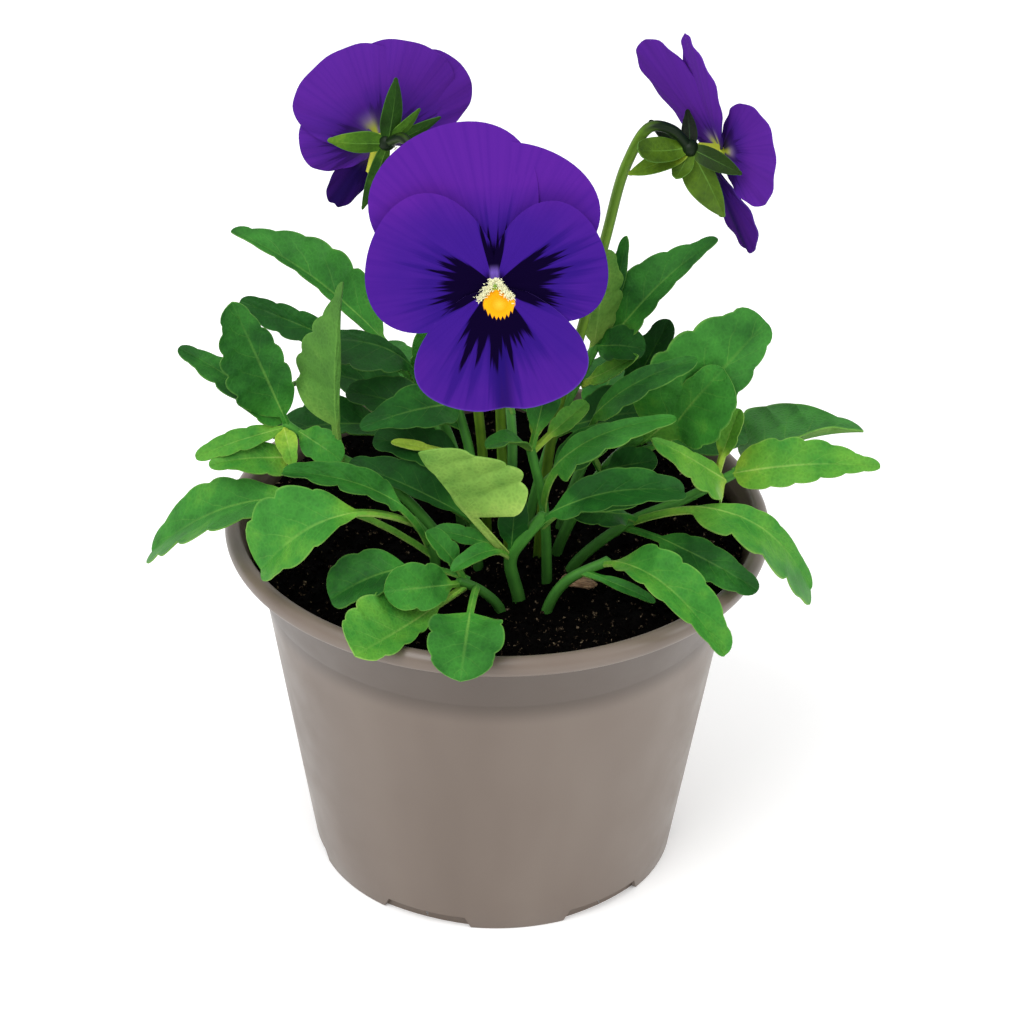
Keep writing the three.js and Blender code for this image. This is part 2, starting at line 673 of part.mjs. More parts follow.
        from: [22, -4, 98], tip: [42, -11.5, 130], face: [-0.8, -0.5, 0.4],
        width: 7.5, stalk: 0.42, arch: 12.5, shape: [0.65, 0.65], halves: [0.65, 1.5],
      },
      {
        from: [26, -4, 100], tip: [54, 5, 102], face: [0, -0.5, 0.8],
        width: 13, stalk: 0.3, arch: 4, teeth: 2,
      },
      {
        from: [22, -4, 97], tip: [34.5, -8, 102.5], face: [0, -0.7, 0.7],
        width: 8, stalk: 0.15, arch: 1, teeth: 2,
      },
    ],
  },
  back_shoot: {
    root: [6, 0],
    path: [[13, 5, 104], [21, 10, 121]],
    leaves: [
      {
        from: [23, 10, 119], tip: [47, 20, 142], face: [-0.4, -0.6, 0.7],
        width: 11, stalk: 0.1, arch: 4, teeth: 4, shape: [0.35, 0.9], halves: [1.3, 0.8],
      },
      {
        from: [20, 10, 119], tip: [22.5, 8.5, 145], face: [-0.3, 0.9, 0.1],
        width: 11, stalk: 0.1, arch: -0.5, shape: [0.75, 0.9], halves: [1.2, 0.8],
      },
      {
        from: [18, 8, 112], tip: [30, 3.5, 122], face: [-0.7, -0.5, 0.6],
        width: 5, stalk: 0.1, arch: 0, teeth: 2, shape: [0.8, 1.1], halves: [0.8, 1.25],
      },
      {
        from: [13, 5, 103], tip: [-5, 10, 118], face: [0, -0.5, 0.8],
        width: 11, arch: 2, teeth: 2,
      },
      {
        from: [12, 4, 101], tip: [34, 0, 110], face: [0, -0.5, 0.8],
        width: 13, teeth: 2,
      },
      {
        from: [21, 10, 120], tip: [31.5, 6, 122], face: [0, -0.6, 0.7],
        width: 9, stalk: 0.05, arch: 2, teeth: 2,
      },
      {
        from: [21, 10, 120], tip: [27, 16, 144.5], face: [-0.4, -0.8, 0.3],
        width: 4, stalk: 0.3, arch: -2, teeth: 0,
      },
    ],
  },
  back_left_shoot: {
    root: [-5, -2],
    path: [[-12, 4, 104], [-22, 8, 117]],
    leaves: [
      {
        from: [-22, 8, 117], tip: [-59, 24, 140], face: [0.3, -0.4, 0.8],
        width: 9.5, stalk: 0.12, arch: 5, teeth: 4, shape: [0.65, 0.9], halves: [0.55, 1.8],
      },
      {
        from: [-21, 8, 115], tip: [-56.5, 11.5, 129.5], face: [0.2, -0.8, 0.6],
        width: 7.5, arch: 2, shape: [0.75, 0.55], halves: [1.15, 0.85],
      },
      {
        from: [-18, 7, 112], tip: [-38, 2.5, 125.5], face: [0.6, -0.5, 0.7],
        width: 9, stalk: 0.15, arch: 7.5, shape: [1.3, 0.6], halves: [2, 0.5],
      },
      {
        from: [-18, 7, 112], tip: [-12.5, 6, 132.5], face: [0.2, -0.9, 0.3],
        width: 9, stalk: 0.1, arch: 1, teeth: 2,
      },
    ],
  },
  rear_left_shoot: {
    root: [-8, 7],
    path: [[-12, 14, 92], [-17, 20, 99]],
    leaves: [
      {
        from: [-16, 19, 98], tip: [-46, 30, 98], face: [0, 0.2, 1],
        width: 14, arch: 5, teeth: 2,
      },
      {
        from: [-16, 19, 98], tip: [-34, 46, 97], face: [0, 0.4, 0.9],
        width: 14, arch: 5, teeth: 2,
      },
      {
        from: [-12, 14, 92], tip: [-50, 6, 99], face: [0, -0.2, 1],
        width: 14, stalk: 0.35, arch: 5, teeth: 2,
      },
      {
        from: [-15, 18, 97], tip: [-41, 14, 111], face: [0, -0.4, 0.9],
        width: 13, teeth: 2,
      },
    ],
  },
  rear_shoot: {
    root: [3, 10],
    path: [[3, 18, 92], [2, 27, 99]],
    leaves: [
      {
        from: [2, 26, 98], tip: [-12, 56, 93], face: [0, 0.4, 0.9],
        width: 14, arch: 5, teeth: 2,
      },
      {
        from: [2, 26, 98], tip: [14, 58, 92], face: [0.1, 0.4, 0.9],
        width: 14, arch: 6, teeth: 2,
      },
      {
        from: [3, 22, 96], tip: [-14, 34, 112], face: [0, 0.5, 0.8],
        width: 12, teeth: 2,
      },
      {
        from: [3, 24, 97], tip: [16, 34, 114], face: [0, 0.5, 0.8],
        width: 12, teeth: 2,
      },
    ],
  },
  rear_right_shoot: {
    root: [14, 5],
    path: [[20, 12, 92], [27, 18, 98]],
    leaves: [
      {
        from: [26, 17, 97], tip: [54, 22, 94], face: [0, 0.2, 1],
        width: 14, arch: 5, teeth: 2,
      },
      {
        from: [26, 17, 97], tip: [44, 44, 96], face: [0, 0.4, 0.9],
        width: 14, arch: 5, teeth: 2,
      },
      {
        from: [20, 12, 92], tip: [28, 40, 101], face: [0, 0.2, 0.9],
        width: 13, stalk: 0.25, arch: 4, teeth: 2,
      },
      {
        from: [24, 15, 95], tip: [47, 8, 96], face: [0, -0.3, 0.9],
        width: 13, arch: 4, teeth: 2,
      },
      {
        from: [26, 17, 97], tip: [37, 16, 124], face: [-0.2, -0.9, 0.4],
        width: 9, stalk: 0.3, arch: 2, teeth: 2,
      },
    ],
  },
};

// The receptacle, spur, petal tips and sepal tips are given from the bloom's throat
const BLOOMS = {
  front_bloom: {
    throat: [-1, -30, 157],
    face: [0, -0.9, 0.44],
    root: [3, -14],
    path: [[1, -16, 106], [0, -17, 130], [-1, -15, 150], [-1, -15, 158]],
    receptacle: [0, 5.7, -1],
    spur: [[0, 0.5, -1], [0, 2.5, -4.5], [0, 5.5, -6.5]],
    petals: [
      { tip: [9.8, 12.3, 25.4], half: 15.7, layer: -2.2, bend: -2, cup: -1, phase: 0.2 },
      { tip: [-15.3, 13.8, 28], half: 17.5, layer: -1.2, bend: -2, cup: -1, phase: 0.9 },
      { tip: [-26, 3.3, 6.7], half: 14.3, layer: 0.2, cup: 0.6, phase: 0.4 },
      { tip: [22, 3.9, 8], half: 12.4, layer: 0.2, cup: 0.6, phase: 1.1 },
      { tip: [2.5, -11.4, -23.3], half: 17.3, layer: 1.4, bend: 1, cup: 0.4, broad: 0.3 },
    ],
    sepals: [
      { tip: [0, 10, 10], face: [0, -0.9, 0.44], width: 4.5 },
      { tip: [12, 6.5, 4], face: [0, -0.9, 0.44], width: 4.5 },
      { tip: [-12, 6.5, 4], face: [0, -0.9, 0.44], width: 4.5 },
      { tip: [9, 1, -9], face: [0, -0.9, 0.44], width: 4.5 },
      { tip: [-9, 1, -9], face: [0, -0.9, 0.44], width: 4.5 },
    ],
  },
  left_bloom: {
    throat: [-25.8, 6.8, 171.8],
    face: [-0.25, 0.96, -0.05],
    root: [-2, -6],
    path: [[-4, -7, 110], [-9, -9, 145], [-14, -8, 166], [-20, -4, 177]],
    receptacle: [1.6, -5.3, 1.9],
    spur: [[0, 0, -1], [-0.8, -1.2, -4], [-1.7, -2.2, -7]],
    spurRadius: 1.6,
    petals: [
      { tip: [-11.2, -2, 19.8], half: 12.2, layer: -1.8, cup: 1, phase: 0.2 },
      { tip: [6.9, 2.7, 21.4], half: 11.8, layer: -1, cup: 1, phase: 0.9 },
      { tip: [-16.5, -4.2, 3.2], half: 8.7, layer: 0.2, bend: 1, cup: 1, phase: 0.4 },
      { tip: [17.1, 5.1, 14.8], half: 9.6, layer: 0.2, bend: 1, cup: 1, phase: 1.1 },
      { tip: [-9.5, -3.4, -15.4], half: 4.1, layer: 1.2, bend: 2, cup: 1, broad: 0.1 },
    ],
    sepals: [
      { tip: [3.5, -3.8, 16.2], face: [-0.25, 0.96, -0.05], width: 4.6 },
      { tip: [-10.8, -5.8, 2.4], face: [-0.25, 0.96, -0.05], width: 5 },
      { tip: [8.5, -3.8, 9.1], face: [-0.25, 0.96, -0.05], width: 2.6 },
      { tip: [12.8, -2.8, 6.7], face: [-0.25, 0.96, -0.05], width: 3 },
      { tip: [-3.7, -4.8, -14.3], face: [-0.25, 0.96, -0.05], width: 3.6 },
    ],
  },
  right_bloom: {
    throat: [46.3, 4, 171.7],
    face: [0.86, 0.42, 0.28],
    root: [9, -8],
    path: [
      [12, -6, 110], [18, -3, 134], [22.3, 0, 153], [26.3, 0, 170.4], [31, 0, 178.9], [35.5, 0.5, 178],
    ],
    receptacle: [-6.9, -3, 1.9],
    spur: [[-0.5, -0.5, -1], [-3.5, 0, -4.5], [-7, 1, -5.5]],
    petals: [
      { tip: [-17.4, 11, 19.6], face: [0.72, 0.65, 0.2], half: 7.9, layer: -0.4, cup: 0.8, phase: 0.2 },
      { tip: [-8.2, -1, 27.2], face: [0.857, 0.42, 0.289], half: 6, layer: -0.8, cup: 0.3, phase: 0.9 },
      { tip: [-3, 15, 5], half: 7, phase: 0.4 },
      { tip: [10.3, -16, 6.7], face: [0.845, 0.53, -0.04], half: 10.8, cup: -1, phase: 1.1 },
      {
        claw: [-3, -3, -0.9], tip: [6.3, -1, -23.8], face: [0.67, 0.58, 0.45],
        half: 5.2, layer: 0.4, cup: 1, broad: 0.3,
      },
    ],
    sepals: [
      { tip: [0.5, -10, -10.6], face: [-0.3, -0.9, 0.3], width: 7.2, halves: [0.7, 1.3] },
      { tip: [3.6, -12, 0.6], face: [-0.3, -0.8, 0.5], width: 4.5 },
      { tip: [-19.8, -7, -2.4], face: [-0.2, -0.7, 0.7], width: 5 },
      { tip: [-18, -9, 4.3], face: [-0.2, -0.7, 0.7], width: 6, shape: [0.6, 0.4] },
      { tip: [-9.8, -8, -2.7], face: [-0.2, -0.7, 0.7], width: 4.5, shape: [0.5, 0.5] },
      { tip: [-15.5, 1, 6.2], face: [-0.2, -0.5, 0.8], width: 4 },
      { tip: [-7.5, 3, 8], face: [-0.2, -0.5, 0.8], width: 3.5 },
    ],
  },
};

const FINISHES = {
  pot: { color: 0x8b7d72, roughness: 0.45 },
  soil: { color: 0x17110d, roughness: 1 },
  leaf: { color: 0x3f8a3a, roughness: 0.5 },
  stalk: { color: 0x5f8a2a, roughness: 0.5 },
  petal: { color: 0x5422a0, roughness: 0.6 },
  bark: { color: 0x8a6f52, roughness: 0.9 },
};

const planter = new THREE.Group();

function addPiece(name, body, finish) {
  const material = new THREE.MeshStandardMaterial({ metalness: 0, ...FINISHES[finish] });
  const mesh = new THREE.Mesh(geometryOf(body), material);
  mesh.name = name;
  mesh.position.set(...POT_AXIS);
  planter.add(mesh);
}

const holes = [
  ...Object.values(SHOOTS).map(({ root, radius }) => ({ centre: root, radius: radius ?? STEM_RADIUS })),
  ...Object.values(BLOOMS).map(({ root }) => ({ centre: root, radius: STALK_RADIUS })),
];

addPiece('pot', makePot(), 'pot');
addPiece('soil', makeSoil(holes), 'soil');
addPiece('bark_chip', makeChip(), 'bark');
for (const [name, shoot] of Object.entries(SHOOTS)) {
  addPiece(name, makeShoot(shoot), 'leaf');
}
for (const [name, bloom] of Object.entries(BLOOMS)) {
  addPiece(`${name}_stalk`, makeStalk(bloom), 'stalk');
  addPiece(`${name}_petals`, makePetals(bloom), 'petal');
}

export default planter;
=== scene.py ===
# Potted pansy: what its solids can't show. Fine leaves with crenate margins and veins, velvety violet
# petals with their rayed blotch and yellow eye, hooked flower stalks, a moulded taupe pot and moist
# compost. Every place below is in millimetres from the pot's axis, as the solids' own source has it.
import math

import bmesh
import bpy
import numpy as np
from mathutils import Matrix, Vector, noise


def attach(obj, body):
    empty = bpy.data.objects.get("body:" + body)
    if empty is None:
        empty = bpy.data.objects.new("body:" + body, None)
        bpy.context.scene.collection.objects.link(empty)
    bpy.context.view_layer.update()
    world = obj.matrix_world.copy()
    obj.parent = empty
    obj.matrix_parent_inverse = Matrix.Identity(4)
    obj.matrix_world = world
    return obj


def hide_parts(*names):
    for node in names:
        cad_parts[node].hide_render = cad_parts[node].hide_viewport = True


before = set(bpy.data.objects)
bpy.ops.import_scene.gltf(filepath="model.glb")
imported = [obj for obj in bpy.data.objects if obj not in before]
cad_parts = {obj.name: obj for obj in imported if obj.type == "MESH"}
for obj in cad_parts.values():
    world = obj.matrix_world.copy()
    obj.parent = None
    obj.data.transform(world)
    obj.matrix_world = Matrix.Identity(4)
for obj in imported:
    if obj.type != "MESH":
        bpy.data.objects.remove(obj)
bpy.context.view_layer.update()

MM = 0.001
POT_AXIS = np.array([-3.3, 3.4, 0])
CIRCLE = 2 * math.pi

# Pot: places are heights and radii, and the lip's section runs inwards from the rim
POT_SIDES = 180
RIM_RADIUS = 60
BAND_BOTTOM = 67
BAND_STEP = 0.5
FOOT_RADIUS = 40.3
FOOT_INNER_RADIUS = 35.5
FOOT_EDGE = 0.5
FLOOR_EDGE = 0.8
WALL_TOP_RADIUS = 51.4
WALL = 1.2
FLOOR_BOTTOM = 3
FLOOR_TOP = 4.4
LIP_SECTION = [(3.4, 79.2), (0.7, 79.6), (0, 80.8), (0.2, 82.5), (1.3, 83.6), (2.4, 83.8), (3.4, 83.3), (4.5, 79.6)]
NOTCH_ANGLES = [-111.5 + 60 * turn for turn in range(6)]
NOTCH_SPAN = 26
NOTCH_HEIGHT = 3
NOTCH_FLARE = 1.35
NOTCH_FLOOR_RADIUS = 38.6
DRAIN_RADIUS = 3.5
DRAIN_CIRCLE = 27
DRAIN_SIDES = 32

# Soil, with two sizes of lumps, as height, length and layer of noise, and loose crumbs, in metres
SOIL_LEVEL = 76
SOIL_BANK = 2.8
BANK_START = 30
SOIL_EDGE = WALL_TOP_RADIUS + 2
SOIL_RINGS = 46
SOIL_SIDES = 150
MOUND_PLACE = (4, -14)
MOUND_HEIGHT = 1.6
MOUND_SPREAD = 22.4
LUMPS = [(0.7, 5, 0), (0.45, 1.8, 7)]
SOIL_DROP = 0.3
CRUMBS = {"Density": 420000.0, "Smallest": 0.00025, "Largest": 0.0011}
STEM_FOOT = 62.3

# Stems and leaves, with the numbers of veins to half a blade and the depth of teeth as a share of it
STEM_RADIUS = 1.3
STALK_RADIUS = 1.1
PETIOLE_HALF = 0.75
PETIOLE_THICKNESS = 1.5
BLADE_THICKNESS = 0.5
EDGE_HALF = 0.16
VEINS = 5.5
VEIN_SLANT = 0.3
QUILT = 0.22
MARGIN_WAVE = 0.45
MIDRIB_GROOVE = 0.14
MIDRIB_KEEL = 0.3
TOOTH_PITCH = 5.6
CRENATION = 0.17
TIP_ROUND = 3.6
SEPAL_TIP = 0.8

# Petals, with the waves of their ruffled edge, and the hairs of the throat
PETAL_OPENING = 0.84
PETAL_RINGS = 26
PETAL_SPANS = 56
RUFFLES = 3.5
KINDS = {"upper": 0, "side": 1, "lower": 2}
TUFT_HAIRS = 340
HAIR_RADIUS = 0.19

# The photograph's view: from the front, 31.5 degrees above the level, with a long lens
CAMERA_RISE = math.radians(31.5)
CAMERA_ROLL = math.radians(0.85)
CAMERA_AIM = np.array([3.2, 0, 84])
CAMERA_DISTANCE = 1000
SENSOR_WIDTH = 36
LENS_PIXELS = 4547
PHOTO_PIXELS = 1024


def leaf(start, tip, face, width, tone, stalk=0.2, arch=3, shape=(0.8, 0.8), halves=(1, 1), fold=0.35, toothed=True):
    """One leaf from its place on the stem to its tip. Tone runs from dark green, 0, to fresh yellow-green, 1,
    stalk is the share without a blade, and shape is how slowly the blade widens and narrows."""
    return dict(start=start, tip=tip, face=face, width=width, tone=tone, stalk=stalk, arch=arch,
                shape=shape, halves=halves, fold=fold, toothed=toothed)


def petal(tip, half, claw=(0, 0, 0), face=None, layer=0, bend=0, cup=0, broad=0.2, phase=0, kind="upper", painted_shade=0):
    """One petal from its claw in the throat to its tip; the last value is painted shade, how much darker the whole
    petal is made where it lies in shadow.
    """
    return dict(tip=tip, half=half, claw=claw, face=face, layer=layer, bend=bend, cup=cup, broad=broad,
                phase=phase, kind=kind, painted_shade=painted_shade)


def sepal(tip, face, width, shape=(0.5, 0.8), halves=(1, 1), tone=0.4):
    """One pointed sepal, or the short lobe behind it, from the receptacle to its tip."""
    return dict(tip=tip, face=face, width=width, shape=shape, halves=halves, tone=tone)


# Each shoot: where it stands on the compost, the path that its stem takes from there, and its leaves
SHOOTS = {
    "left_shoot": dict(root=(-8, -13), path=[(-22, -11, 96), (-38, -9, 105), (-46, -9, 111)], leaves=[
        leaf((-45, -9, 110), (-56.5, -12.5, 142.5), (0.2, -1, 0), 14.5, 0.36, 0.1, -0.5, (0.55, 0.7), (1.2, 0.8)),
        leaf((-44, -8, 109), (-69, -1.5, 125), (0.4, -0.5, 0.8), 9.5, 0.34, 0.1, 2, (0.4, 0.7), (1.25, 0.8)),
        leaf((-33, -10, 100), (-33, -12, 147.5), (0.4, 0.9, 0), 12, 0.34, 0.28, -4, (0.6, 1.3), (0.15, 2)),
        leaf((-45, -9, 110), (-65, -13, 104.5), (0, -0.7, 0.7), 5.5, 0.62, 0.05, 2.5, (0.8, 0.75), (1.05, 0.95)),
        leaf((-44, -11, 103), (-62, -16, 104.5), (0.2, -0.5, 0.9), 9, 0.6, 0.1, 2, (0.4, 0.95), (1.25, 0.8)),
        leaf((-46, -10, 110), (-44, -15.5, 104.5), (0, -0.7, 0.8), 5, 0.84, 0, 1.5, (0.7, 1.1), (0.9, 1.1),
             toothed=False),
        leaf((-43, -9, 109), (-33.5, -15, 105.5), (0.1, -0.8, 0.6), 8, 0.5, 0.05, 1),
    ]),
    "low_left_shoot": dict(root=(-13, -20), path=[(-14, -22, 89), (-18, -25, 97)], leaves=[
        leaf((-13, -21, 85), (-75, -14, 81), (-0.1, -0.2, 1), 21, 0.52, 0.42, 16.5, (1.3, 0.75), (1.3, 0.75)),
        leaf((-18, -25, 96), (-50, -34, 89.5), (0, -0.5, 0.8), 18, 0.58, 0.3, 14, (1.45, 0.7), (0.8, 1.25)),
        leaf((-15, -23, 90), (-45.5, -26, 109), (0.5, -0.5, 0.7), 8.5, 0.42, 0.3, 10, (0.85, 0.8), (1.4, 0.7),
             fold=0.9),
    ]),
    "front_left_shoot": dict(root=(1, -29), path=[(-3, -31, 83), (-8, -33, 87)], leaves=[
        leaf((-8, -33, 86), (-23.5, -46, 92), (0.7, -0.6, 0.5), 11, 0.5, 0.12, 2, (0.85, 0.5), (0.95, 1.05)),
        leaf((-6, -32, 85), (-29, -61.5, 86), (0.3, -0.2, 0.9), 14, 0.62, 0.25, -1, (0.8, 0.45), (0.7, 1.4)),
        leaf((-4, -31, 84), (-7, -66, 83), (0, -0.45, 0.9), 17, 0.42, 0.5, 5, (0.45, 0.47)),
        leaf((-7, -32, 87), (-15, -33, 99), (0.6, -0.5, 0.6), 6, 0.45, 0.2, 1),
        leaf((-6, -31, 86), (-35, -40, 86), (0.1, -0.2, 1), 14.5, 0.34, 0.45, 6, (0.7, 0.55), (1.1, 0.95)),
    ]),
    "front_shoot": dict(root=(5, -25), path=[(3, -26, 88), (6, -28, 95), (10, -29, 101)], radius=1.6, leaves=[
        leaf((3, -26, 88), (-16.5, -34.5, 119.5), (0.4, 0.8, 0.4), 16.5, 0.62, 0.42, -0.5, (0.2, 0.5), (2.1, 0.15)),
        leaf((10, -29, 100), (39.5, -30, 108), (-0.2, -0.6, 0.8), 10, 0.28, 0.08, 7.5, (0.65, 0.6), (0.8, 1.25),
             fold=0.8),
        leaf((3, -26, 89), (4, -28, 106), (0, -0.9, 0.3), 7, 0.16, 0.2, 1),
        leaf((3, -26, 89), (-13.5, -27.5, 96), (0, -0.5, 0.8), 4.5, 0.42, 0.3, 2),
        leaf((3, -26, 88), (-9.5, -36, 91), (-0.1, -0.4, 0.9), 4.5, 0.5, 0.25, 4, toothed=False),
    ]),
    "centre_shoot": dict(root=(11, -18), path=[(10, -19, 97), (7, -20, 112)], leaves=[
        leaf((10, -19, 97), (37.5, -22, 121.5), (-0.6, -0.5, 0.6), 8, 0.46, 0.3, 11.5, (0.4, 0.75),
             (0.55, 1.85), fold=0.5),
        leaf((7, -20, 112), (-2.5, -24, 114.5), (0.2, 0.2, 1), 9, 0.42, 0, 1.5, (0.85, 0.95), (1.25, 0.8)),
        leaf((7, -20, 111), (12, -13, 133), (0, -0.8, 0.5), 8, 0.4, 0.2, 1),
        leaf((10, -19, 92), (30, -25, 102), (0, -0.3, 0.9), 10, 0.35, 0.3, 4),
        leaf((9, -19, 102), (26, -15, 114), (-0.2, -0.5, 0.8), 9, 0.4, 0.2, 2),
        leaf((7, -20, 111), (19, -12, 119), (-0.3, -0.8, 0.5), 5, 0.7, 0.3, 1),
        leaf((7, -20, 111), (10.5, -14, 119.5), (-0.5, -0.8, 0.2), 4, 0.72, 0.3, 1, toothed=False),
    ]),
    "inner_left_shoot": dict(root=(-4, -12), path=[(-5, -11, 90), (-6, -8, 103), (-9, -5, 114)], leaves=[
        leaf((-9, -5, 114), (-29.5, -14, 113), (0.2, -0.6, 0.8), 11.5, 0.28, 0, 3, (0.45, 1), (0.95, 1.05)),
        leaf((-5, -11.5, 88), (-32, -13.5, 104), (0.4, -0.7, 0.6), 7, 0.2, 0.2, 3.5, (0.65, 0.95), (0.55, 1.75)),
        leaf((-8, -6, 109), (-33, 0, 114), (0, -0.5, 0.85), 11, 0.24, 0.1, 2),
        leaf((-6, -8, 100), (-27, -7, 106), (0, -0.5, 0.85), 11, 0.22, 0.1),
        leaf((-6, -8, 102), (-23, -12, 108.5), (0, -0.6, 0.8), 2.4, 1, 0.5, 1, toothed=False),
    ]),
    "right_shoot": dict(root=(16, -13), path=[(28, -14, 90), (40, -12, 95), (52, -8, 100)], leaves=[
        leaf((50, -8, 99), (82.5, -10, 103), (-0.1, -0.7, 0.7), 11.5, 0.67, 0.05, 5.5, (0.4, 0.9), (1.1, 0.9)),
        leaf((51, -8, 100), (79.5, 1.5, 105), (-0.3, 0.4, 0.9), 21.5, 0.46, 0.15, 2.5, (0.35, 0.9), (2, 0.5)),
        leaf((30, -14, 91), (68, -21.5, 78.5), (0.2, -0.3, 0.9), 13, 0.58, 0.25, 13.5, (0.7, 0.5), (0.5, 2)),
        leaf((28, -14, 89), (56, -33, 85.5), (-0.3, -0.5, 0.8), 9, 0.3, 0.3, 4.5, (0.5, 0.6), (0.85, 1.15)),
        leaf((49, -9.5, 98.5), (32.5, -22.5, 116.5), (-0.1, -0.6, 0.8), 11, 0.68, 0, 1, (0.35, 0.7), (1.5, 0.35)),
        leaf((47, -10, 98), (52, -5, 114), (-0.5, -0.8, 0.2), 5.5, 0.74, 0.35, 1),
        leaf((30, -14, 91), (16, -23, 97.5), (0, -0.5, 0.8), 9, 0.3, 0.2, 2, (0.6, 0.7)),
    ]),
    "front_right_shoot": dict(root=(11, -29), path=[(15, -29, 84.5), (24, -29, 90)], leaves=[
        leaf((23, -29, 89), (48.5, -51.5, 81), (-0.1, -0.4, 0.9), 11, 0.55, 0.08, 10.5, (0.75, 0.7), (1.1, 0.9),
             fold=0.7),
        leaf((18, -29, 87), (34, -36, 84), (0, -0.5, 0.9), 3, 0.35, 0.2, 1, toothed=False),
    ]),
    "back_right_shoot": dict(root=(13, -6), path=[(22, -4, 96), (31, -3, 105), (37, -4, 106)], leaves=[
        leaf((31, -3, 104), (57, 1.5, 132), (-0.1, -1, 0.2), 19.5, 0.45, 0.1, 6, (0.45, 0.55), (1.45, 0.7)),
        leaf((36.5, -4, 105.5), (48, -8, 125.5), (-0.6, -0.8, 0.2), 13.5, 0.48, 0.1, 2.5, (0.7, 0.45), (0.6, 1.65)),
        leaf((22, -4, 98), (42, -11.5, 130), (-0.8, -0.5, 0.4), 7.5, 0.4, 0.42, 12.5, (0.65, 0.65), (0.65, 1.5)),
        leaf((26, -4, 100), (54, 5, 102), (0, -0.5, 0.8), 13, 0.4, 0.3, 4),
        leaf((22, -4, 97), (34.5, -8, 102.5), (0, -0.7, 0.7), 8, 0.3, 0.15, 1),
    ]),
    "back_shoot": dict(root=(6, 0), path=[(13, 5, 104), (21, 10, 121)], leaves=[
        leaf((23, 10, 119), (47, 20, 142), (-0.4, -0.6, 0.7), 11, 0.42, 0.1, 4, (0.35, 0.9), (1.3, 0.8)),
        leaf((20, 10, 119), (22.5, 8.5, 145), (-0.3, 0.9, 0.1), 11, 0.5, 0.1, -0.5, (0.75, 0.9), (1.2, 0.8)),
        leaf((18, 8, 112), (30, 3.5, 122), (-0.7, -0.5, 0.6), 5, 0.7, 0.1, 0, (0.8, 1.1), (0.8, 1.25)),
        leaf((13, 5, 103), (-5, 10, 118), (0, -0.5, 0.8), 11, 0.3, 0.2, 2),
        leaf((12, 4, 101), (34, 0, 110), (0, -0.5, 0.8), 13, 0.3),
        leaf((21, 10, 120), (31.5, 6, 122), (0, -0.6, 0.7), 9, 0.25, 0.05, 2),
        leaf((21, 10, 120), (27, 16, 144.5), (-0.4, -0.8, 0.3), 4, 0.35, 0.3, -2, toothed=False),
    ]),
    "back_left_shoot": dict(root=(-5, -2), path=[(-12, 4, 104), (-22, 8, 117)], leaves=[
        leaf((-22, 8, 117), (-59, 24, 140), (0.3, -0.4, 0.8), 9.5, 0.42, 0.12, 5, (0.65, 0.9), (0.55, 1.8)),
        leaf((-21, 8, 115), (-56.5, 11.5, 129.5), (0.2, -0.8, 0.6), 7.5, 0.28, 0.2, 2, (0.75, 0.55), (1.15, 0.85)),
        leaf((-18, 7, 112), (-38, 2.5, 125.5), (0.6, -0.5, 0.7), 9, 0.2, 0.15, 7.5, (1.3, 0.6), (2, 0.5)),
        leaf((-18, 7, 112), (-12.5, 6, 132.5), (0.2, -0.9, 0.3), 9, 0.45, 0.1, 1),
    ]),
    "rear_left_shoot": dict(root=(-8, 7), path=[(-12, 14, 92), (-17, 20, 99)], leaves=[
        leaf((-16, 19, 98), (-46, 30, 98), (0, 0.2, 1), 14, 0.38, 0.2, 5),
        leaf((-16, 19, 98), (-34, 46, 97), (0, 0.4, 0.9), 14, 0.42, 0.2, 5),
        leaf((-12, 14, 92), (-50, 6, 99), (0, -0.2, 1), 14, 0.3, 0.35, 5),
        leaf((-15, 18, 97), (-41, 14, 111), (0, -0.4, 0.9), 13, 0.3),
    ]),
    "rear_shoot": dict(root=(3, 10), path=[(3, 18, 92), (2, 27, 99)], leaves=[
        leaf((2, 26, 98), (-12, 56, 93), (0, 0.4, 0.9), 14, 0.4, 0.2, 5),
        leaf((2, 26, 98), (14, 58, 92), (0.1, 0.4, 0.9), 14, 0.44, 0.2, 6),
        leaf((3, 22, 96), (-14, 34, 112), (0, 0.5, 0.8), 12, 0.38),
        leaf((3, 24, 97), (16, 34, 114), (0, 0.5, 0.8), 12, 0.38),
    ]),
    "rear_right_shoot": dict(root=(14, 5), path=[(20, 12, 92), (27, 18, 98)], leaves=[
        leaf((26, 17, 97), (54, 22, 94), (0, 0.2, 1), 14, 0.4, 0.2, 5),
        leaf((26, 17, 97), (44, 44, 96), (0, 0.4, 0.9), 14, 0.38, 0.2, 5),
        leaf((20, 12, 92), (28, 40, 101), (0, 0.2, 0.9), 13, 0.4, 0.25, 4),
        leaf((24, 15, 95), (47, 8, 96), (0, -0.3, 0.9), 13, 0.32, 0.2, 4),
        leaf((26, 17, 97), (37, 16, 124), (-0.2, -0.9, 0.4), 9, 0.12, 0.3, 2),
    ]),
}
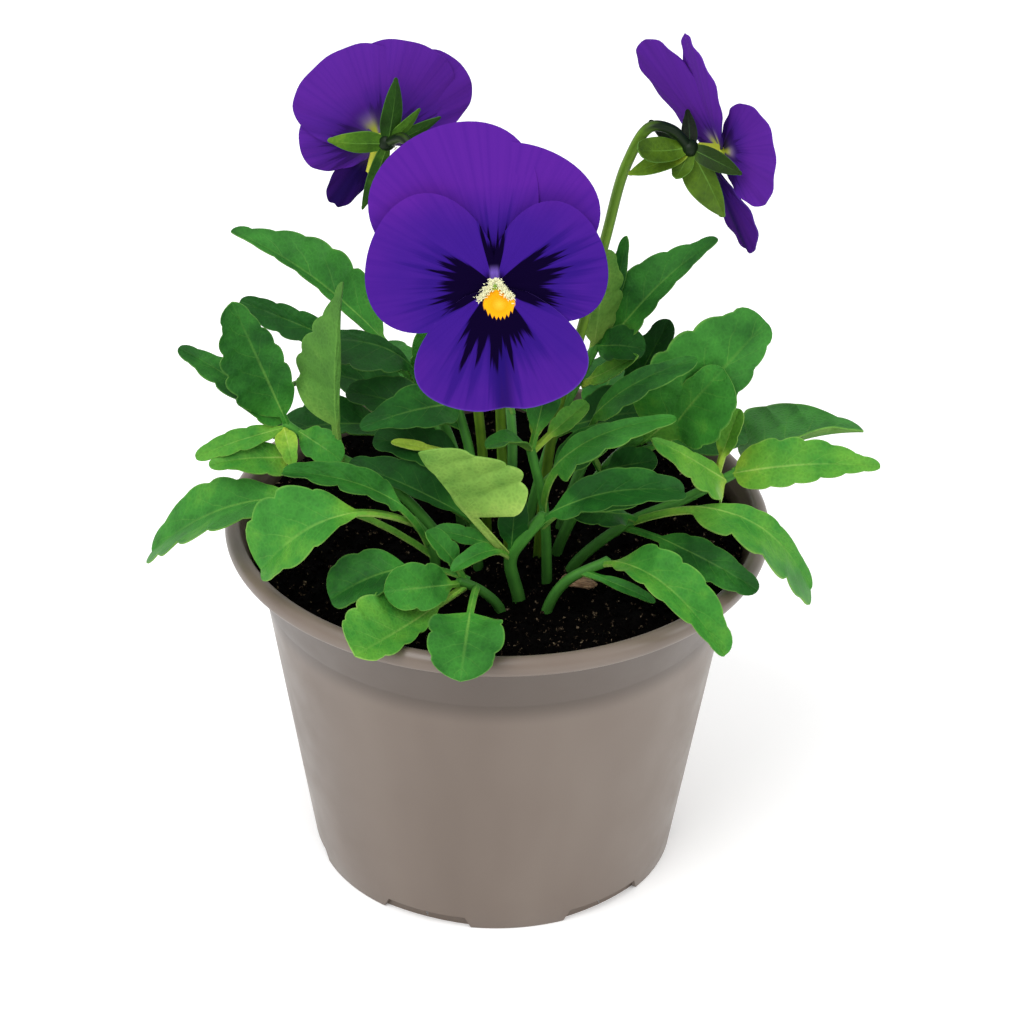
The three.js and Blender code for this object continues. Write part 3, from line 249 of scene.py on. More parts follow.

# Each bloom: its throat, the way that it faces, the size of its marks against the front bloom's, how much painted
# shade darkens the hook of its stalk, which lies in shadow, and its parts, which are placed from the throat
BLOOMS = {
    "front_bloom": {
        "throat": (-1, -30, 157),
        "face": (0, -0.9, 0.44),
        "marking": 1.0,
        "hook_shade": 0.1,
        "root": (3, -14),
        "path": [(1, -16, 106), (0, -17, 130), (-1, -15, 150), (-1, -15, 158)],
        "receptacle": (0, 5.7, -1),
        "spur": [(0, 0.5, -1), (0, 2.5, -4.5), (0, 5.5, -6.5)],
        "petals": [
            petal((9.8, 12.3, 25.4), 15.7, layer=-2.2, bend=-2, cup=-1, phase=0.2),
            petal((-15.3, 13.8, 28), 17.5, layer=-1.2, bend=-2, cup=-1, phase=0.9),
            petal((-26, 3.3, 6.7), 14.3, layer=0.2, cup=0.6, phase=0.4, kind="side"),
            petal((22, 3.9, 8), 12.4, layer=0.2, cup=0.6, phase=1.1, kind="side"),
            petal((2.5, -11.4, -23.3), 17.3, layer=1.4, bend=1, cup=0.4, broad=0.3, kind="lower"),
        ],
        "sepals": [
            sepal((0, 10, 10), (0, -0.9, 0.44), 4.5, tone=0.4),
            sepal((12, 6.5, 4), (0, -0.9, 0.44), 4.5, tone=0.4),
            sepal((-12, 6.5, 4), (0, -0.9, 0.44), 4.5, tone=0.4),
            sepal((9, 1, -9), (0, -0.9, 0.44), 4.5, tone=0.4),
            sepal((-9, 1, -9), (0, -0.9, 0.44), 4.5, tone=0.4),
        ],
    },
    "left_bloom": {
        "throat": (-25.8, 6.8, 171.8),
        "face": (-0.25, 0.96, -0.05),
        "marking": 0.85,
        "hook_shade": 0.4,
        "root": (-2, -6),
        "path": [(-4, -7, 110), (-9, -9, 145), (-14, -8, 166), (-20, -4, 177)],
        "receptacle": (1.6, -5.3, 1.9),
        "spur": [(0, 0, -1), (-0.8, -1.2, -4), (-1.7, -2.2, -7)],
        "spur_radius": 1.6,
        "petals": [
            petal((-11.2, -2, 19.8), 12.2, layer=-1.8, cup=1, phase=0.2),
            petal((6.9, 2.7, 21.4), 11.8, layer=-1, cup=1, phase=0.9),
            petal((-16.5, -4.2, 3.2), 8.7, layer=0.2, bend=1, cup=1, phase=0.4, kind="side"),
            petal((17.1, 5.1, 14.8), 9.6, layer=0.2, bend=1, cup=1, phase=1.1, kind="side"),
            # The lowest petal lies in shadow and takes painted shade
            petal((-9.5, -3.4, -15.4), 4.1, layer=1.2, bend=2, cup=1, broad=0.1, kind="lower", painted_shade=0.75),
        ],
        "sepals": [
            sepal((3.5, -3.8, 16.2), (-0.25, 0.96, -0.05), 4.6, tone=0.22),
            sepal((-10.8, -5.8, 2.4), (-0.25, 0.96, -0.05), 5, tone=0.5),
            sepal((8.5, -3.8, 9.1), (-0.25, 0.96, -0.05), 2.6, tone=0.4),
            sepal((12.8, -2.8, 6.7), (-0.25, 0.96, -0.05), 3, tone=0.25),
            sepal((-3.7, -4.8, -14.3), (-0.25, 0.96, -0.05), 3.6, tone=0.3),
        ],
    },
    "right_bloom": {
        "throat": (46.3, 4, 171.7),
        "face": (0.86, 0.42, 0.28),
        "marking": 0.6,
        "hook_shade": 0.5,
        "root": (9, -8),
        "path": [(12, -6, 110), (18, -3, 134), (22.3, 0, 153), (26.3, 0, 170.4), (31, 0, 178.9), (35.5, 0.5, 178)],
        "receptacle": (-6.9, -3, 1.9),
        "spur": [(-0.5, -0.5, -1), (-3.5, 0, -4.5), (-7, 1, -5.5)],
        "petals": [
            petal((-17.4, 11, 19.6), 7.9, face=(0.72, 0.65, 0.2), layer=-0.4, cup=0.8, phase=0.2),
            petal((-8.2, -1, 27.2), 6, face=(0.857, 0.42, 0.289), layer=-0.8, cup=0.3, phase=0.9),
            petal((-3, 15, 5), 7, phase=0.4, kind="side"),
            petal((10.3, -16, 6.7), 10.8, face=(0.845, 0.53, -0.04), cup=-1, phase=1.1, kind="side"),
            # The lowest petal lies in shadow and takes painted shade
            petal((6.3, -1, -23.8), 5.2, claw=(-3, -3, -0.9), face=(0.67, 0.58, 0.45),
                  layer=0.4, cup=1, broad=0.3, kind="lower", painted_shade=0.4),
        ],
        "sepals": [
            sepal((0.5, -10, -10.6), (-0.3, -0.9, 0.3), 7.2, halves=(0.7, 1.3), tone=0.45),
            sepal((3.6, -12, 0.6), (-0.3, -0.8, 0.5), 4.5, tone=0.2),
            sepal((-19.8, -7, -2.4), (-0.2, -0.7, 0.7), 5, tone=0.55),
            sepal((-18, -9, 4.3), (-0.2, -0.7, 0.7), 6, shape=(0.6, 0.4), tone=0.4),
            sepal((-9.8, -8, -2.7), (-0.2, -0.7, 0.7), 4.5, shape=(0.5, 0.5), tone=0.4),
            # These last two sepals lie in shadow and take near-black tones: painted shade
            sepal((-15.5, 1, 6.2), (-0.2, -0.5, 0.8), 4, tone=0.0),
            sepal((-7.5, 3, 8), (-0.2, -0.5, 0.8), 3.5, tone=-0.1),
        ],
    },
}


def linear(colour):
    """An sRGB hex colour as the linear values that a shader takes."""
    channels = [int(colour[place:place + 2], 16) / 255 for place in (1, 3, 5)]
    return [c / 12.92 if c <= 0.04045 else ((c + 0.055) / 1.055) ** 2.4 for c in channels] + [1.0]


MODES = {"Math": "operation", "VectorMath": "operation", "MapRange": "interpolation_type", "Mix": "data_type"}


def add(tree, kind, *sources, stops=(), **named):
    """Adds a node of a kind, and of a mode where the kind has one. Sources fill its usable inputs in their
    order, so a MapRange takes a value, its range and the new range. Of the named ones, a capital marks an
    input and the rest are settings. A source is a value, a socket, or a node for its first usable output.
    Stops are a colour ramp's places with their hex colours."""
    kind, _, mode = kind.partition(" ")
    node = tree.nodes.new(kind if kind.startswith(("Geometry", "Function", "NodeGroup")) else "ShaderNode" + kind)
    if mode:
        setattr(node, MODES[kind], mode)
    for name in [name for name in named if name[0].islower()]:
        setattr(node, name, named.pop(name))
    taken = [*zip([socket for socket in node.inputs if socket.enabled], sources),
             *[(node.inputs[name.replace("_", " ")], value) for name, value in named.items()]]
    for socket, value in taken:
        if isinstance(value, bpy.types.Node):
            value = next(output for output in value.outputs if output.enabled)
        if isinstance(value, bpy.types.NodeSocket):
            tree.links.new(value, socket)
        else:
            socket.default_value = value
    for number, (place, colour) in enumerate(stops):
        element = node.color_ramp.elements[number] if number < 2 else node.color_ramp.elements.new(place)
        element.position = place
        element.color = linear(colour)
    return node


def make_material(name, surface, *looks):
    """A material from the function that adds its pattern and says what the shader takes."""
    material = bpy.data.materials.new(name)
    material.use_nodes = True
    tree = material.node_tree
    tree.nodes.clear()
    add(tree, "OutputMaterial", add(tree, "BsdfPrincipled", **surface(tree, *looks)))
    return material


def leaf_surface(tree, upper, lower):
    """Pansy leaf: a smooth, slightly waxy blade with a soft shine, a paler midrib, side veins and margin.
    The base runs into fresh yellow-green, and the underside is matt and greyer."""
    side, along, _ = add(tree, "SeparateXYZ", add(tree, "UVMap", uv_map="cloth")).outputs
    across = add(tree, "Math ABSOLUTE", side)
    tone, under, rib = [add(tree, "Attribute", attribute_name=name).outputs["Fac"]
                        for name in ("tone", "under", "rib")]
    world = add(tree, "TexCoord").outputs["Object"]
    # Patches of about 8 mm, from growth and light
    patches = add(tree, "TexNoise", world, 125, 4, 0.6)
    patch = add(tree, "Math MULTIPLY_ADD", patches, 0.62, -0.31)
    base = add(tree, "MapRange", along, 0, 0.3, 0.24, 0)
    level = add(tree, "Math ADD", add(tree, "Math ADD", tone, patch), base)
    top = add(tree, "ValToRGB", level, stops=upper)
    back = add(tree, "ValToRGB", level, stops=lower)
    blade = add(tree, "Mix RGBA", under, top, back)
    # Side veins about 0.3 mm wide, five or six to each half, bent by the blade's growth
    bend = add(tree, "Math MULTIPLY_ADD", patches, 0.5, rib)
    vein = add(tree, "MapRange SMOOTHSTEP", add(tree, "Math PINGPONG", bend, 0.5), 0, 0.05, 0.2, 0)
    veins = add(tree, "Math MULTIPLY", vein, add(tree, "MapRange", across, 0.1, 0.8, 1, 0))
    midrib_wide = add(tree, "MapRange SMOOTHSTEP", across, 0.01, 0.065, 0.6, 0)
    midrib = add(tree, "Math MULTIPLY", midrib_wide, add(tree, "MapRange", along, 0.1, 0.85, 1, 0.15))
    margin = add(tree, "MapRange SMOOTHSTEP", across, 0.94, 1, 0, 0.4)
    lines = add(tree, "Math MAXIMUM", add(tree, "Math MAXIMUM", veins, midrib), margin)
    light = add(tree, "ValToRGB", level, stops=[(0, "#38682e"), (0.5, "#78ab48"), (1, "#c4d977")])
    lined = add(tree, "Mix RGBA", lines, blade, light)
    # A net of small veins about 1 mm apart, darker between them
    net = add(tree, "TexVoronoi", feature="DISTANCE_TO_EDGE", Vector=world, Scale=950)
    mesh = add(tree, "MapRange", net.outputs["Distance"], 0, 0.3, 0, 0.16)
    relief = add(tree, "Math SUBTRACT", mesh, veins)
    return dict(Base_Color=add(tree, "Mix RGBA", mesh, lined, linear("#0d2c0c")),
                Roughness=add(tree, "MapRange", under, To_Min=0.56, To_Max=0.75),
                Normal=add(tree, "Bump", Strength=0.55, Distance=0.0004, Height=relief),
                IOR=1.42, Specular_IOR_Level=0.2)


def stem_surface(tree, stops, roughness):
    """Pansy stem: a juicy, faintly ribbed green stalk, lighter on its ribs, with a satin skin and painted shade at
    its foot.
    """
    tone = add(tree, "Attribute", attribute_name="tone").outputs["Fac"]
    world = add(tree, "TexCoord").outputs["Object"]
    shift = add(tree, "Math MULTIPLY_ADD", add(tree, "TexNoise", world, 260, 2), 0.3, -0.15)
    round_stem = add(tree, "SeparateXYZ", add(tree, "UVMap", uv_map="cloth")).outputs["X"]
    ribs = add(tree, "Math PINGPONG", round_stem, 0.125)
    ridge = add(tree, "Math MULTIPLY_ADD", ribs, 1.2, -0.07)
    level = add(tree, "Math ADD", add(tree, "Math ADD", tone, shift), ridge)
    colour = add(tree, "ValToRGB", level, stops=stops)
    # Painted shade at the foot of a stem, which lies in the leaves' shadow: darker from 20 mm up down to where it
    # comes out of the compost
    height = add(tree, "SeparateXYZ", world).outputs["Z"]
    foot = add(tree, "MapRange SMOOTHSTEP", height, 0.075, 0.095, 0.62, 0)
    return dict(Base_Color=add(tree, "Mix RGBA", foot, colour, linear("#122a0c")), Roughness=roughness,
                Normal=add(tree, "Bump", Strength=0.3, Distance=0.0002, Height=ribs),
                IOR=1.42, Specular_IOR_Level=0.2)


# The fans of dark rays round the throat, as seen from the front: the middle of each in degrees clockwise
# from the top, how far it opens to each side, and how far it runs out in millimetres on the front bloom
RAY_FANS = [(1, 19, 13.5), (-85, 44, 15.5), (86, 43, 16.5), (181, 48, 18.5)]
EYE_PLACE = (0.7, -3.9, 0)
EYE_SHAPE = (1 / 3.1, 1 / 3.0, 0)
PETAL_VIOLET = [(0, "#321579"), (0.35, "#38187b"), (0.9, "#501e88")]
CLAW_COLOURS = [(0, "#6f58ac"), (0.55, "#9b88a4"), (1, "#b4bb45")]
YOLK = [(0, "#f2b431"), (0.5, "#f39a12"), (1, "#f7a714")]


def petal_surface(tree):
    """Pansy petal: thin and velvety, deep violet, bluer on the lower three. Near-black fans of rays run
    out of the throat, and a yellow eye with a toothed edge sits just below it."""
    cloth = add(tree, "UVMap", uv_map="cloth")
    right, above, _ = add(tree, "SeparateXYZ", cloth).outputs
    out = add(tree, "VectorMath LENGTH", cloth)
    way = add(tree, "VectorMath NORMALIZE", cloth)
    marks = add(tree, "Attribute", attribute_name="marks").outputs["Vector"]
    turn, kind, seed = add(tree, "SeparateXYZ", marks).outputs
    under, rim, painted_shade = [add(tree, "Attribute", attribute_name=name).outputs["Fac"]
                        for name in ("under", "rib", "tone")]
    is_lower = add(tree, "Math GREATER_THAN", kind, 1.5)
    # Fine veins, about 0.6 mm apart at mid petal
    fan = add(tree, "Math MULTIPLY_ADD", turn, 9, seed)
    fine = add(tree, "TexNoise", noise_dimensions="1D", W=fan, Scale=2.2, Detail=2.5).outputs["Fac"]
    veined = add(tree, "MapRange", fine, 0.42, 0.7, 0, 0.18)
    # Soft clouds of about 10 mm, and a redder violet high above the throat and behind
    clouds = add(tree, "TexNoise", add(tree, "TexCoord").outputs["Object"], 100, 2)
    drift = add(tree, "Math MULTIPLY_ADD", clouds, 0.5, -0.25)
    span = add(tree, "Math MULTIPLY_ADD", out, 0.022, drift)
    redder = add(tree, "MapRange SMOOTHSTEP", above, 10, 25, 0, 0.5)
    level = add(tree, "Math ADD", redder, add(tree, "Math MULTIPLY_ADD", under, 0.42, span))
    violet = add(tree, "ValToRGB", level, stops=PETAL_VIOLET)
    # The dark rays: noise on a circle round the throat gives each its reach
    circle = add(tree, "VectorMath ADD", way, add(tree, "CombineXYZ", Z=seed))
    spike = add(tree, "MapRange", add(tree, "TexNoise", circle, 8, 3, 0.7), 0.34, 0.68, 0, 1)
    share = add(tree, "Math MULTIPLY_ADD", add(tree, "Math POWER", spike, 1.5), 0.46, 0.58)
    limit = 2.6
    for middle, opening, reach in RAY_FANS:
        aim = (math.sin(math.radians(middle)), math.cos(math.radians(middle)), 0)
        aside = add(tree, "Math ARCCOSINE", add(tree, "VectorMath DOT_PRODUCT", way, aim))
        window = add(tree, "MapRange SMOOTHSTEP", aside, math.radians(opening * 0.68), math.radians(opening),
                     reach, 0)
        limit = add(tree, "Math MAXIMUM", add(tree, "Math MULTIPLY", window, share), limit)
    rays = add(tree, "MapRange SMOOTHSTEP", add(tree, "Math SUBTRACT", limit, out), -1.2, 1, 0, 1)
    # A dim halo of long, soft veins round the rays
    far_gap = add(tree, "Math SUBTRACT", add(tree, "Math MULTIPLY", limit, 1.55), out)
    halo = add(tree, "MapRange SMOOTHSTEP", far_gap, -2, 5, 0, 0.5)
    # From behind, the rays and the halo only show through
    show = add(tree, "MapRange", under, To_Min=1, To_Max=0.5)
    halo = add(tree, "Math MULTIPLY", halo, show)
    rays = add(tree, "Math MULTIPLY", rays, show)
    # A dark streak down the middle of the lowest petal, about 4 mm wide
    off_axis = add(tree, "Math ABSOLUTE", turn)
    streak = add(tree, "MapRange SMOOTHSTEP", add(tree, "Math MULTIPLY", off_axis, out), 0.4, 3.4, 0.75, 0)
    streak = add(tree, "Math MULTIPLY", streak, is_lower)
    # The pale lilac strip that rises from the throat
    strip_wide = add(tree, "MapRange SMOOTHSTEP", add(tree, "Math ABSOLUTE", right), 0.5, 1.3, 1, 0)
    strip = add(tree, "Math MULTIPLY", strip_wide, add(tree, "MapRange SMOOTHSTEP", above, 2.6, 4.6, 0.85, 0))
    strip = add(tree, "Math MULTIPLY", strip, add(tree, "Math GREATER_THAN", above, 0.2))
    # The yellow eye, 6 mm wide, with a toothed lower edge, on the front of the lowest petal
    from_eye = add(tree, "VectorMath SUBTRACT", cloth, EYE_PLACE)
    eye_out = add(tree, "VectorMath LENGTH", add(tree, "VectorMath MULTIPLY", from_eye, EYE_SHAPE))
    foot = add(tree, "MapRange", above, -4, -5.6, 0, 0.6)
    edge = add(tree, "Math MULTIPLY_ADD", add(tree, "Math PINGPONG", right, 0.42), foot, eye_out)
    eye = add(tree, "MapRange SMOOTHSTEP", edge, 1, 1.12, 1, 0)
    eye = add(tree, "Math MULTIPLY", eye, add(tree, "Math SUBTRACT", is_lower, under))
    # Painted highlight: a thin pale line where light catches the rim of the lowest petal, and a faint one on the
    # others
    rim_highlight = add(tree, "MapRange", rim, 0.985, 1, 0, 0.3)
    rim_highlight = add(tree, "Math MULTIPLY", rim_highlight, add(tree, "MapRange", is_lower, To_Min=0.05, To_Max=1))
    # The back is a shade paler: yellow-green at the claw, then lilac, then violet
    paler = add(tree, "Math MULTIPLY", under, 0.04)
    claw = add(tree, "MapRange SMOOTHSTEP", out, 3, 11, 1, 0)
    narrow = add(tree, "Math MULTIPLY", claw, add(tree, "MapRange SMOOTHSTEP", off_axis, 0.08, 0.4, 1, 0.12))
    behind = add(tree, "Math MULTIPLY", narrow, under)
    # Each mark is mixed on in turn, and last comes painted shade, which darkens a whole petal that lies in shadow
    colour = violet
    for amount, tint in (
            (veined, linear("#2b0f72")), (streak, linear("#150a4c")), (halo, linear("#1c0d64")),
            (rays, linear("#080120")), (strip, linear("#6d53ac")), (eye, add(tree, "ValToRGB", eye_out, stops=YOLK)),
            (rim_highlight, linear("#6d4fb4")), (paler, linear("#8659c4")),
            (behind, add(tree, "ValToRGB", claw, stops=CLAW_COLOURS)), (painted_shade, linear("#0b0530"))):
        colour = add(tree, "Mix RGBA", amount, colour, tint)
    return dict(Base_Color=colour, Roughness=0.8, IOR=1.4, Specular_IOR_Level=0.03,
                Normal=add(tree, "Bump", Strength=0.25, Distance=0.0002, Height=fine))


def tuft_surface(tree):
    """The bearded tufts beside the throat: short, dense, cream hairs with greenish roots."""
    tone = add(tree, "Attribute", attribute_name="tone").outputs["Fac"]
    colour = add(tree, "ValToRGB", tone, stops=[(0, "#b4b876"), (0.4, "#dfdfae"), (1, "#faf8e2")])
    return dict(Base_Color=colour, Roughness=0.7, IOR=1.4)


def pot_surface(tree):
    """Recycled polypropylene, injection moulded: an even taupe with faint flow marks and a satin skin, and painted
    shade under the lip.
    """
    world = add(tree, "TexCoord").outputs["Object"]
    # Flow marks, about 40 mm wide and drawn out up the wall
    stretched = add(tree, "Mapping", Vector=world, Scale=(1, 1, 0.35))
    flow = add(tree, "TexNoise", stretched, 26, 3, 0.5)
    colour = add(tree, "ValToRGB", flow, stops=[(0.3, "#63564c"), (0.5, "#6b5e54"), (0.72, "#72665c")])
    # Painted shade: the flared band under the lip, which lies in the lip's shade, is darkened; this fades out 5 mm
    # down the wall and stops at the lip
    height = add(tree, "SeparateXYZ", world).outputs["Z"]
    band = add(tree, "MapRange SMOOTHSTEP", height, 0.061, 0.067, 0, 0.68)
    band = add(tree, "Math MULTIPLY", band, add(tree, "MapRange", height, 0.0793, 0.0797, 1, 0))
    # Fine scuffs and the skin's grain, 0.4 mm
    grain = add(tree, "TexNoise", world, 2400, 2)
    scuffs = add(tree, "TexNoise", world, 90, 4)
    return dict(Base_Color=add(tree, "Mix RGBA", band, colour, linear("#3c3027")),
                Roughness=add(tree, "MapRange", scuffs, 0.3, 0.7, 0.3, 0.42),
                Normal=add(tree, "Bump", Strength=0.12, Distance=0.0001, Height=grain),
                IOR=1.49, Specular_IOR_Level=0.5)


def compost_surface(tree, stops):
    """Moist peat compost: near black, matt, with a faint wet glint on the crumbs."""
    # Crumbs of about 1.5 mm
    crumbs = add(tree, "TexNoise", add(tree, "TexCoord").outputs["Object"], 700, 5, 0.7)
    return dict(Base_Color=add(tree, "ValToRGB", crumbs, stops=stops), Roughness=0.95,
                Normal=add(tree, "Bump", Strength=0.8, Distance=0.0008, Height=crumbs),
                IOR=1.4, Specular_IOR_Level=0.04)


def bark_surface(tree):
    """Pine bark chip: dry, fibrous, tan with darker grain lines about 0.6 mm apart."""
    stretched = add(tree, "Mapping", Vector=add(tree, "TexCoord").outputs["Object"], Scale=(0.35, 1.6, 1.6))
    grain = add(tree, "TexNoise", stretched, 1500, 4, 0.65)
    colour = add(tree, "ValToRGB", grain, stops=[(0.3, "#3d2a1c"), (0.5, "#7c5f45"), (0.7, "#a88a6a")])
    return dict(Base_Color=colour, Roughness=0.88,
                Normal=add(tree, "Bump", Strength=0.7, Distance=0.0004, Height=grain))


def paper_surface(tree):
    """Matt white paper, lit softly from below: it has no gloss and stays white in the shade."""
    return dict(Base_Color=linear("#f6f6f6"), Roughness=1, Specular_IOR_Level=0,
                Emission_Color=linear("#ffffff"), Emission_Strength=0.2)


leaf_skin = make_material(
    "pansy_leaf", leaf_surface,
    [(0, "#0c2c0f"), (0.3, "#1b5419"), (0.55, "#39822b"), (0.8, "#67a335"), (1, "#a2c240")],
    [(0, "#2b5024"), (0.4, "#508233"), (0.75, "#82aa4a"), (1, "#adc662")])
sepal_skin = make_material(
    "pansy_sepal", leaf_surface,
    [(0, "#071003"), (0.3, "#233c0a"), (0.55, "#527415"), (0.8, "#93a826"), (1, "#cdd243")],
    [(0, "#081503"), (0.3, "#1f440a"), (0.55, "#467116"), (0.8, "#86a128"), (1, "#c8d045")])
stem_skin = make_material("pansy_stem", stem_surface,
                          [(0, "#1d4a1f"), (0.4, "#4c8f36"), (0.75, "#86b955"), (1, "#b7d47a")], 0.45)
stalk_skin = make_material("pansy_flower_stalk", stem_surface,
                           [(0, "#10200c"), (0.4, "#4e711a"), (0.7, "#76992c"), (1, "#b9c94a")], 0.42)
petal_skin = make_material("pansy_petal_velvet", petal_surface)
throat_skin = make_material("pansy_spur", stem_surface, [(0, "#6f8f2c"), (0.5, "#aebf3a"), (1, "#d8d24e")], 0.5)
tuft_skin = make_material("cream_throat_hair", tuft_surface)
pot_skin = make_material("moulded_taupe_polypropylene", pot_surface)
compost = make_material("peat_compost", compost_surface, [(0.3, "#010000"), (0.55, "#030202"), (0.75, "#080504")])
crumb_skin = make_material("compost_crumb", compost_surface,
                           [(0.5, "#020101"), (0.58, "#080504"), (0.63, "#4e4133"), (0.74, "#a3937a")])
bark_skin = make_material("pine_bark", bark_surface)


def unit(vector):
    """A vector's direction."""
    return np.asarray(vector, float) / np.linalg.norm(vector)


def smoothstep(value, low, high):
    """How far a value is from low to high, eased at both ends."""
    share = np.clip((value - low) / (high - low), 0, 1)
    return share * share * (3 - 2 * share)


def smooth_path(points, steps):
    """Points along a centripetal curve through the given ones, with its direction at each."""
    points = [np.array(p, float) for p in points]
    ends = [2 * points[0] - points[1], *points, 2 * points[-1] - points[-2]]
    found = []
    spans = len(points) - 1
    for span in range(spans):
        p0, p1, p2, p3 = ends[span:span + 4]
        t0, t1, t2 = [max(np.linalg.norm(b - a), 1e-4) ** 0.5 for a, b in ((p0, p1), (p1, p2), (p2, p3))]
        m1 = ((p1 - p0) / t0 - (p2 - p0) / (t0 + t1) + (p2 - p1) / t1) * t1
        m2 = ((p2 - p1) / t1 - (p3 - p1) / (t1 + t2) + (p3 - p2) / t2) * t1
        for u in np.arange(steps + (span == spans - 1)) / steps:
            found.append(p1 + m1 * u + (3 * (p2 - p1) - 2 * m1 - m2) * u ** 2 + (2 * (p1 - p2) + m1 + m2) * u ** 3)
    found = np.array(found)
    along = np.gradient(found, axis=0)
    return found, along / np.linalg.norm(along, axis=1, keepdims=True)


def new_object(name, data):
    """An object in the scene."""
    made = bpy.data.objects.new(name, data)
    bpy.context.scene.collection.objects.link(made)
    return made


def settle(piece, slot, *nodes):
    """Puts a finished piece on the one body, in place of its nodes."""
    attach(piece, "root")
    if nodes:
        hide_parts(*nodes)


def new_mesh(name, points, faces):
    """A mesh in the frame's metres from points in millimetres."""
    mesh = bpy.data.meshes.new(name)
    mesh.from_pydata(((np.asarray(points) + POT_AXIS) * MM).tolist(), [], faces)
    return mesh


def dress(mesh, sharp, *finishes):
    """Gives a mesh its finishes and smooth shading, apart from edges of more degrees than sharp."""
    for finish in finishes:
        mesh.materials.append(finish)
    mesh.shade_smooth()
    mesh.set_sharp_from_angle(angle=math.radians(sharp))


class Skin:
    """Gathers closed shells in millimetres, each with its finish and the values that its material reads."""
    WIDTHS = {"cloth": (2,), "tone": (), "under": (), "rib": (), "marks": (3,)}

    def __init__(self):
        self.points, self.faces, self.finish = [], [], []
        self.values = {key: [] for key in self.WIDTHS}

    def shell(self, points, faces, finish, **values):
        """Takes in one shell and turns its faces outwards. A value that isn't given is 0."""
        count = sum(map(len, self.points))
        points = np.asarray(points, float)
        corner = np.array([(f[0], f[i], f[i + 1]) for f in faces for i in range(1, len(f) - 1)])
        a, b, c = (points[corner[:, k]] - points.mean(0) for k in range(3))
        turned = -1 if np.einsum("ij,ij->i", a, np.cross(b, c)).sum() < 0 else 1
        self.points.append(points)
        self.faces += [tuple(i + count for i in f[::turned]) for f in faces]
        self.finish += [finish] * len(faces)
        for key, width in self.WIDTHS.items():
            self.values[key].append(np.broadcast_to(np.asarray(values.get(key, 0), float), (len(points), *width)))

    def sheet(self, upper, lower, cloth, rib, **values):
        """Takes in a thin sheet, from the grids of its two sides, in the first finish."""
        top = np.arange(rib.size).reshape(upper.shape[:2])
        squares = np.stack([top[:-1, :-1], top[:-1, 1:], top[1:, 1:], top[1:, :-1]], -1).reshape(-1, 4)
        rim = np.concatenate([top[0], top[1:, -1], top[-1, -2::-1], top[-2:0:-1, 0]])
        following = np.roll(rim, -1)
        strip = np.stack([following, rim, rim + top.size, following + top.size], -1)
        faces = np.concatenate([squares, squares[:, ::-1] + top.size, strip]).tolist()
        self.shell(np.concatenate([upper.reshape(-1, 3), lower.reshape(-1, 3)]), faces, 0, rib=np.tile(rib, 2),
                   cloth=np.tile(cloth, (2, 1)), under=np.repeat([0, 1], top.size), **values)

    def piece(self, name, finishes, slot, node):
        """Makes the gathered shells one object, which stands for this node."""
        mesh = new_mesh(name, np.concatenate(self.points), self.faces)
        mesh.polygons.foreach_set("material_index", self.finish)
        values = {key: np.concatenate(value).astype(np.float32) for key, value in self.values.items()}
        corner = np.empty(len(mesh.loops), int)
        mesh.loops.foreach_get("vertex_index", corner)
        mesh.uv_layers.new(name="cloth").data.foreach_set("uv", values["cloth"][corner].ravel())
        for key in ("tone", "under", "rib"):
            mesh.attributes.new(key, "FLOAT", "POINT").data.foreach_set("value", values[key])
        mesh.attributes.new("marks", "FLOAT_VECTOR", "POINT").data.foreach_set("vector", values["marks"].ravel())
        dress(mesh, 50, *finishes)
        settle(new_object(name, mesh), slot, node)


def band(rings, sides, first=0):
    """The faces between rings of points, which are numbered on from the first."""
    ring = first + np.arange(rings * sides).reshape(rings, sides)
    onward = np.roll(ring, -1, axis=1)
    return np.stack([ring[:-1], onward[:-1], onward[1:], ring[1:]], -1).reshape(-1, 4).tolist()


def add_tube(skin, points, along, radii, sides, tone, flute=0):
    """A round stem along its path, in the second finish, with shallow flutes and a rounded end."""
    side = unit(np.cross(along[0], [0.31, 0.87, 0.12]))
    rings, places = [], []
    angles = np.linspace(0, CIRCLE, sides, endpoint=False)
    travel = np.concatenate([[0], np.cumsum(np.linalg.norm(np.diff(points, axis=0), axis=1))])
    count = len(points)
    radii = np.broadcast_to(radii, count)
    for centre, way, broad, far in zip(points, along, radii, travel):
        side = unit(side - way * np.dot(side, way))
        radius = broad * (1 + flute * np.cos(4 * angles))
        rings.append(centre + np.outer(radius * np.cos(angles), side)
                     + np.outer(radius * np.sin(angles), np.cross(way, side)))
        places.append(np.stack([angles / CIRCLE, np.full(sides, far)], 1))
    ends = [points[0] - along[0] * radii[0] * 0.3, points[-1] + along[-1] * radii[-1] * 0.6]
    first, last = count * sides, count * sides + 1
    faces = band(count, sides)
    for j in range(sides):
        k = (j + 1) % sides
        faces += [(first, k, j), (last, first - sides + j, first - sides + k)]
    tones = np.broadcast_to(tone, count)
    skin.shell(np.concatenate([*rings, ends]), faces, 1, cloth=np.concatenate([*places, [(0, 0), (0, travel[-1])]]),
               tone=np.concatenate([np.repeat(tones, sides), tones[:1], tones[-1:]]))


def add_ball(skin, centre, radius, tone):
    """A ball in the second finish."""
    ball = bmesh.new()
    bmesh.ops.create_icosphere(ball, subdivisions=3, radius=1)
    points = np.array([v.co for v in ball.verts]) * radius + centre
    faces = [tuple(v.index for v in f.verts) for f in ball.faces]
    ball.free()
    skin.shell(points, faces, 1, tone=tone)


def rooted(row):
    """A stem's path, from its foot in the compost on."""
    return [(*row["root"], z) for z in (STEM_FOOT, SOIL_LEVEL - 5, SOIL_LEVEL + 1)] + row["path"]


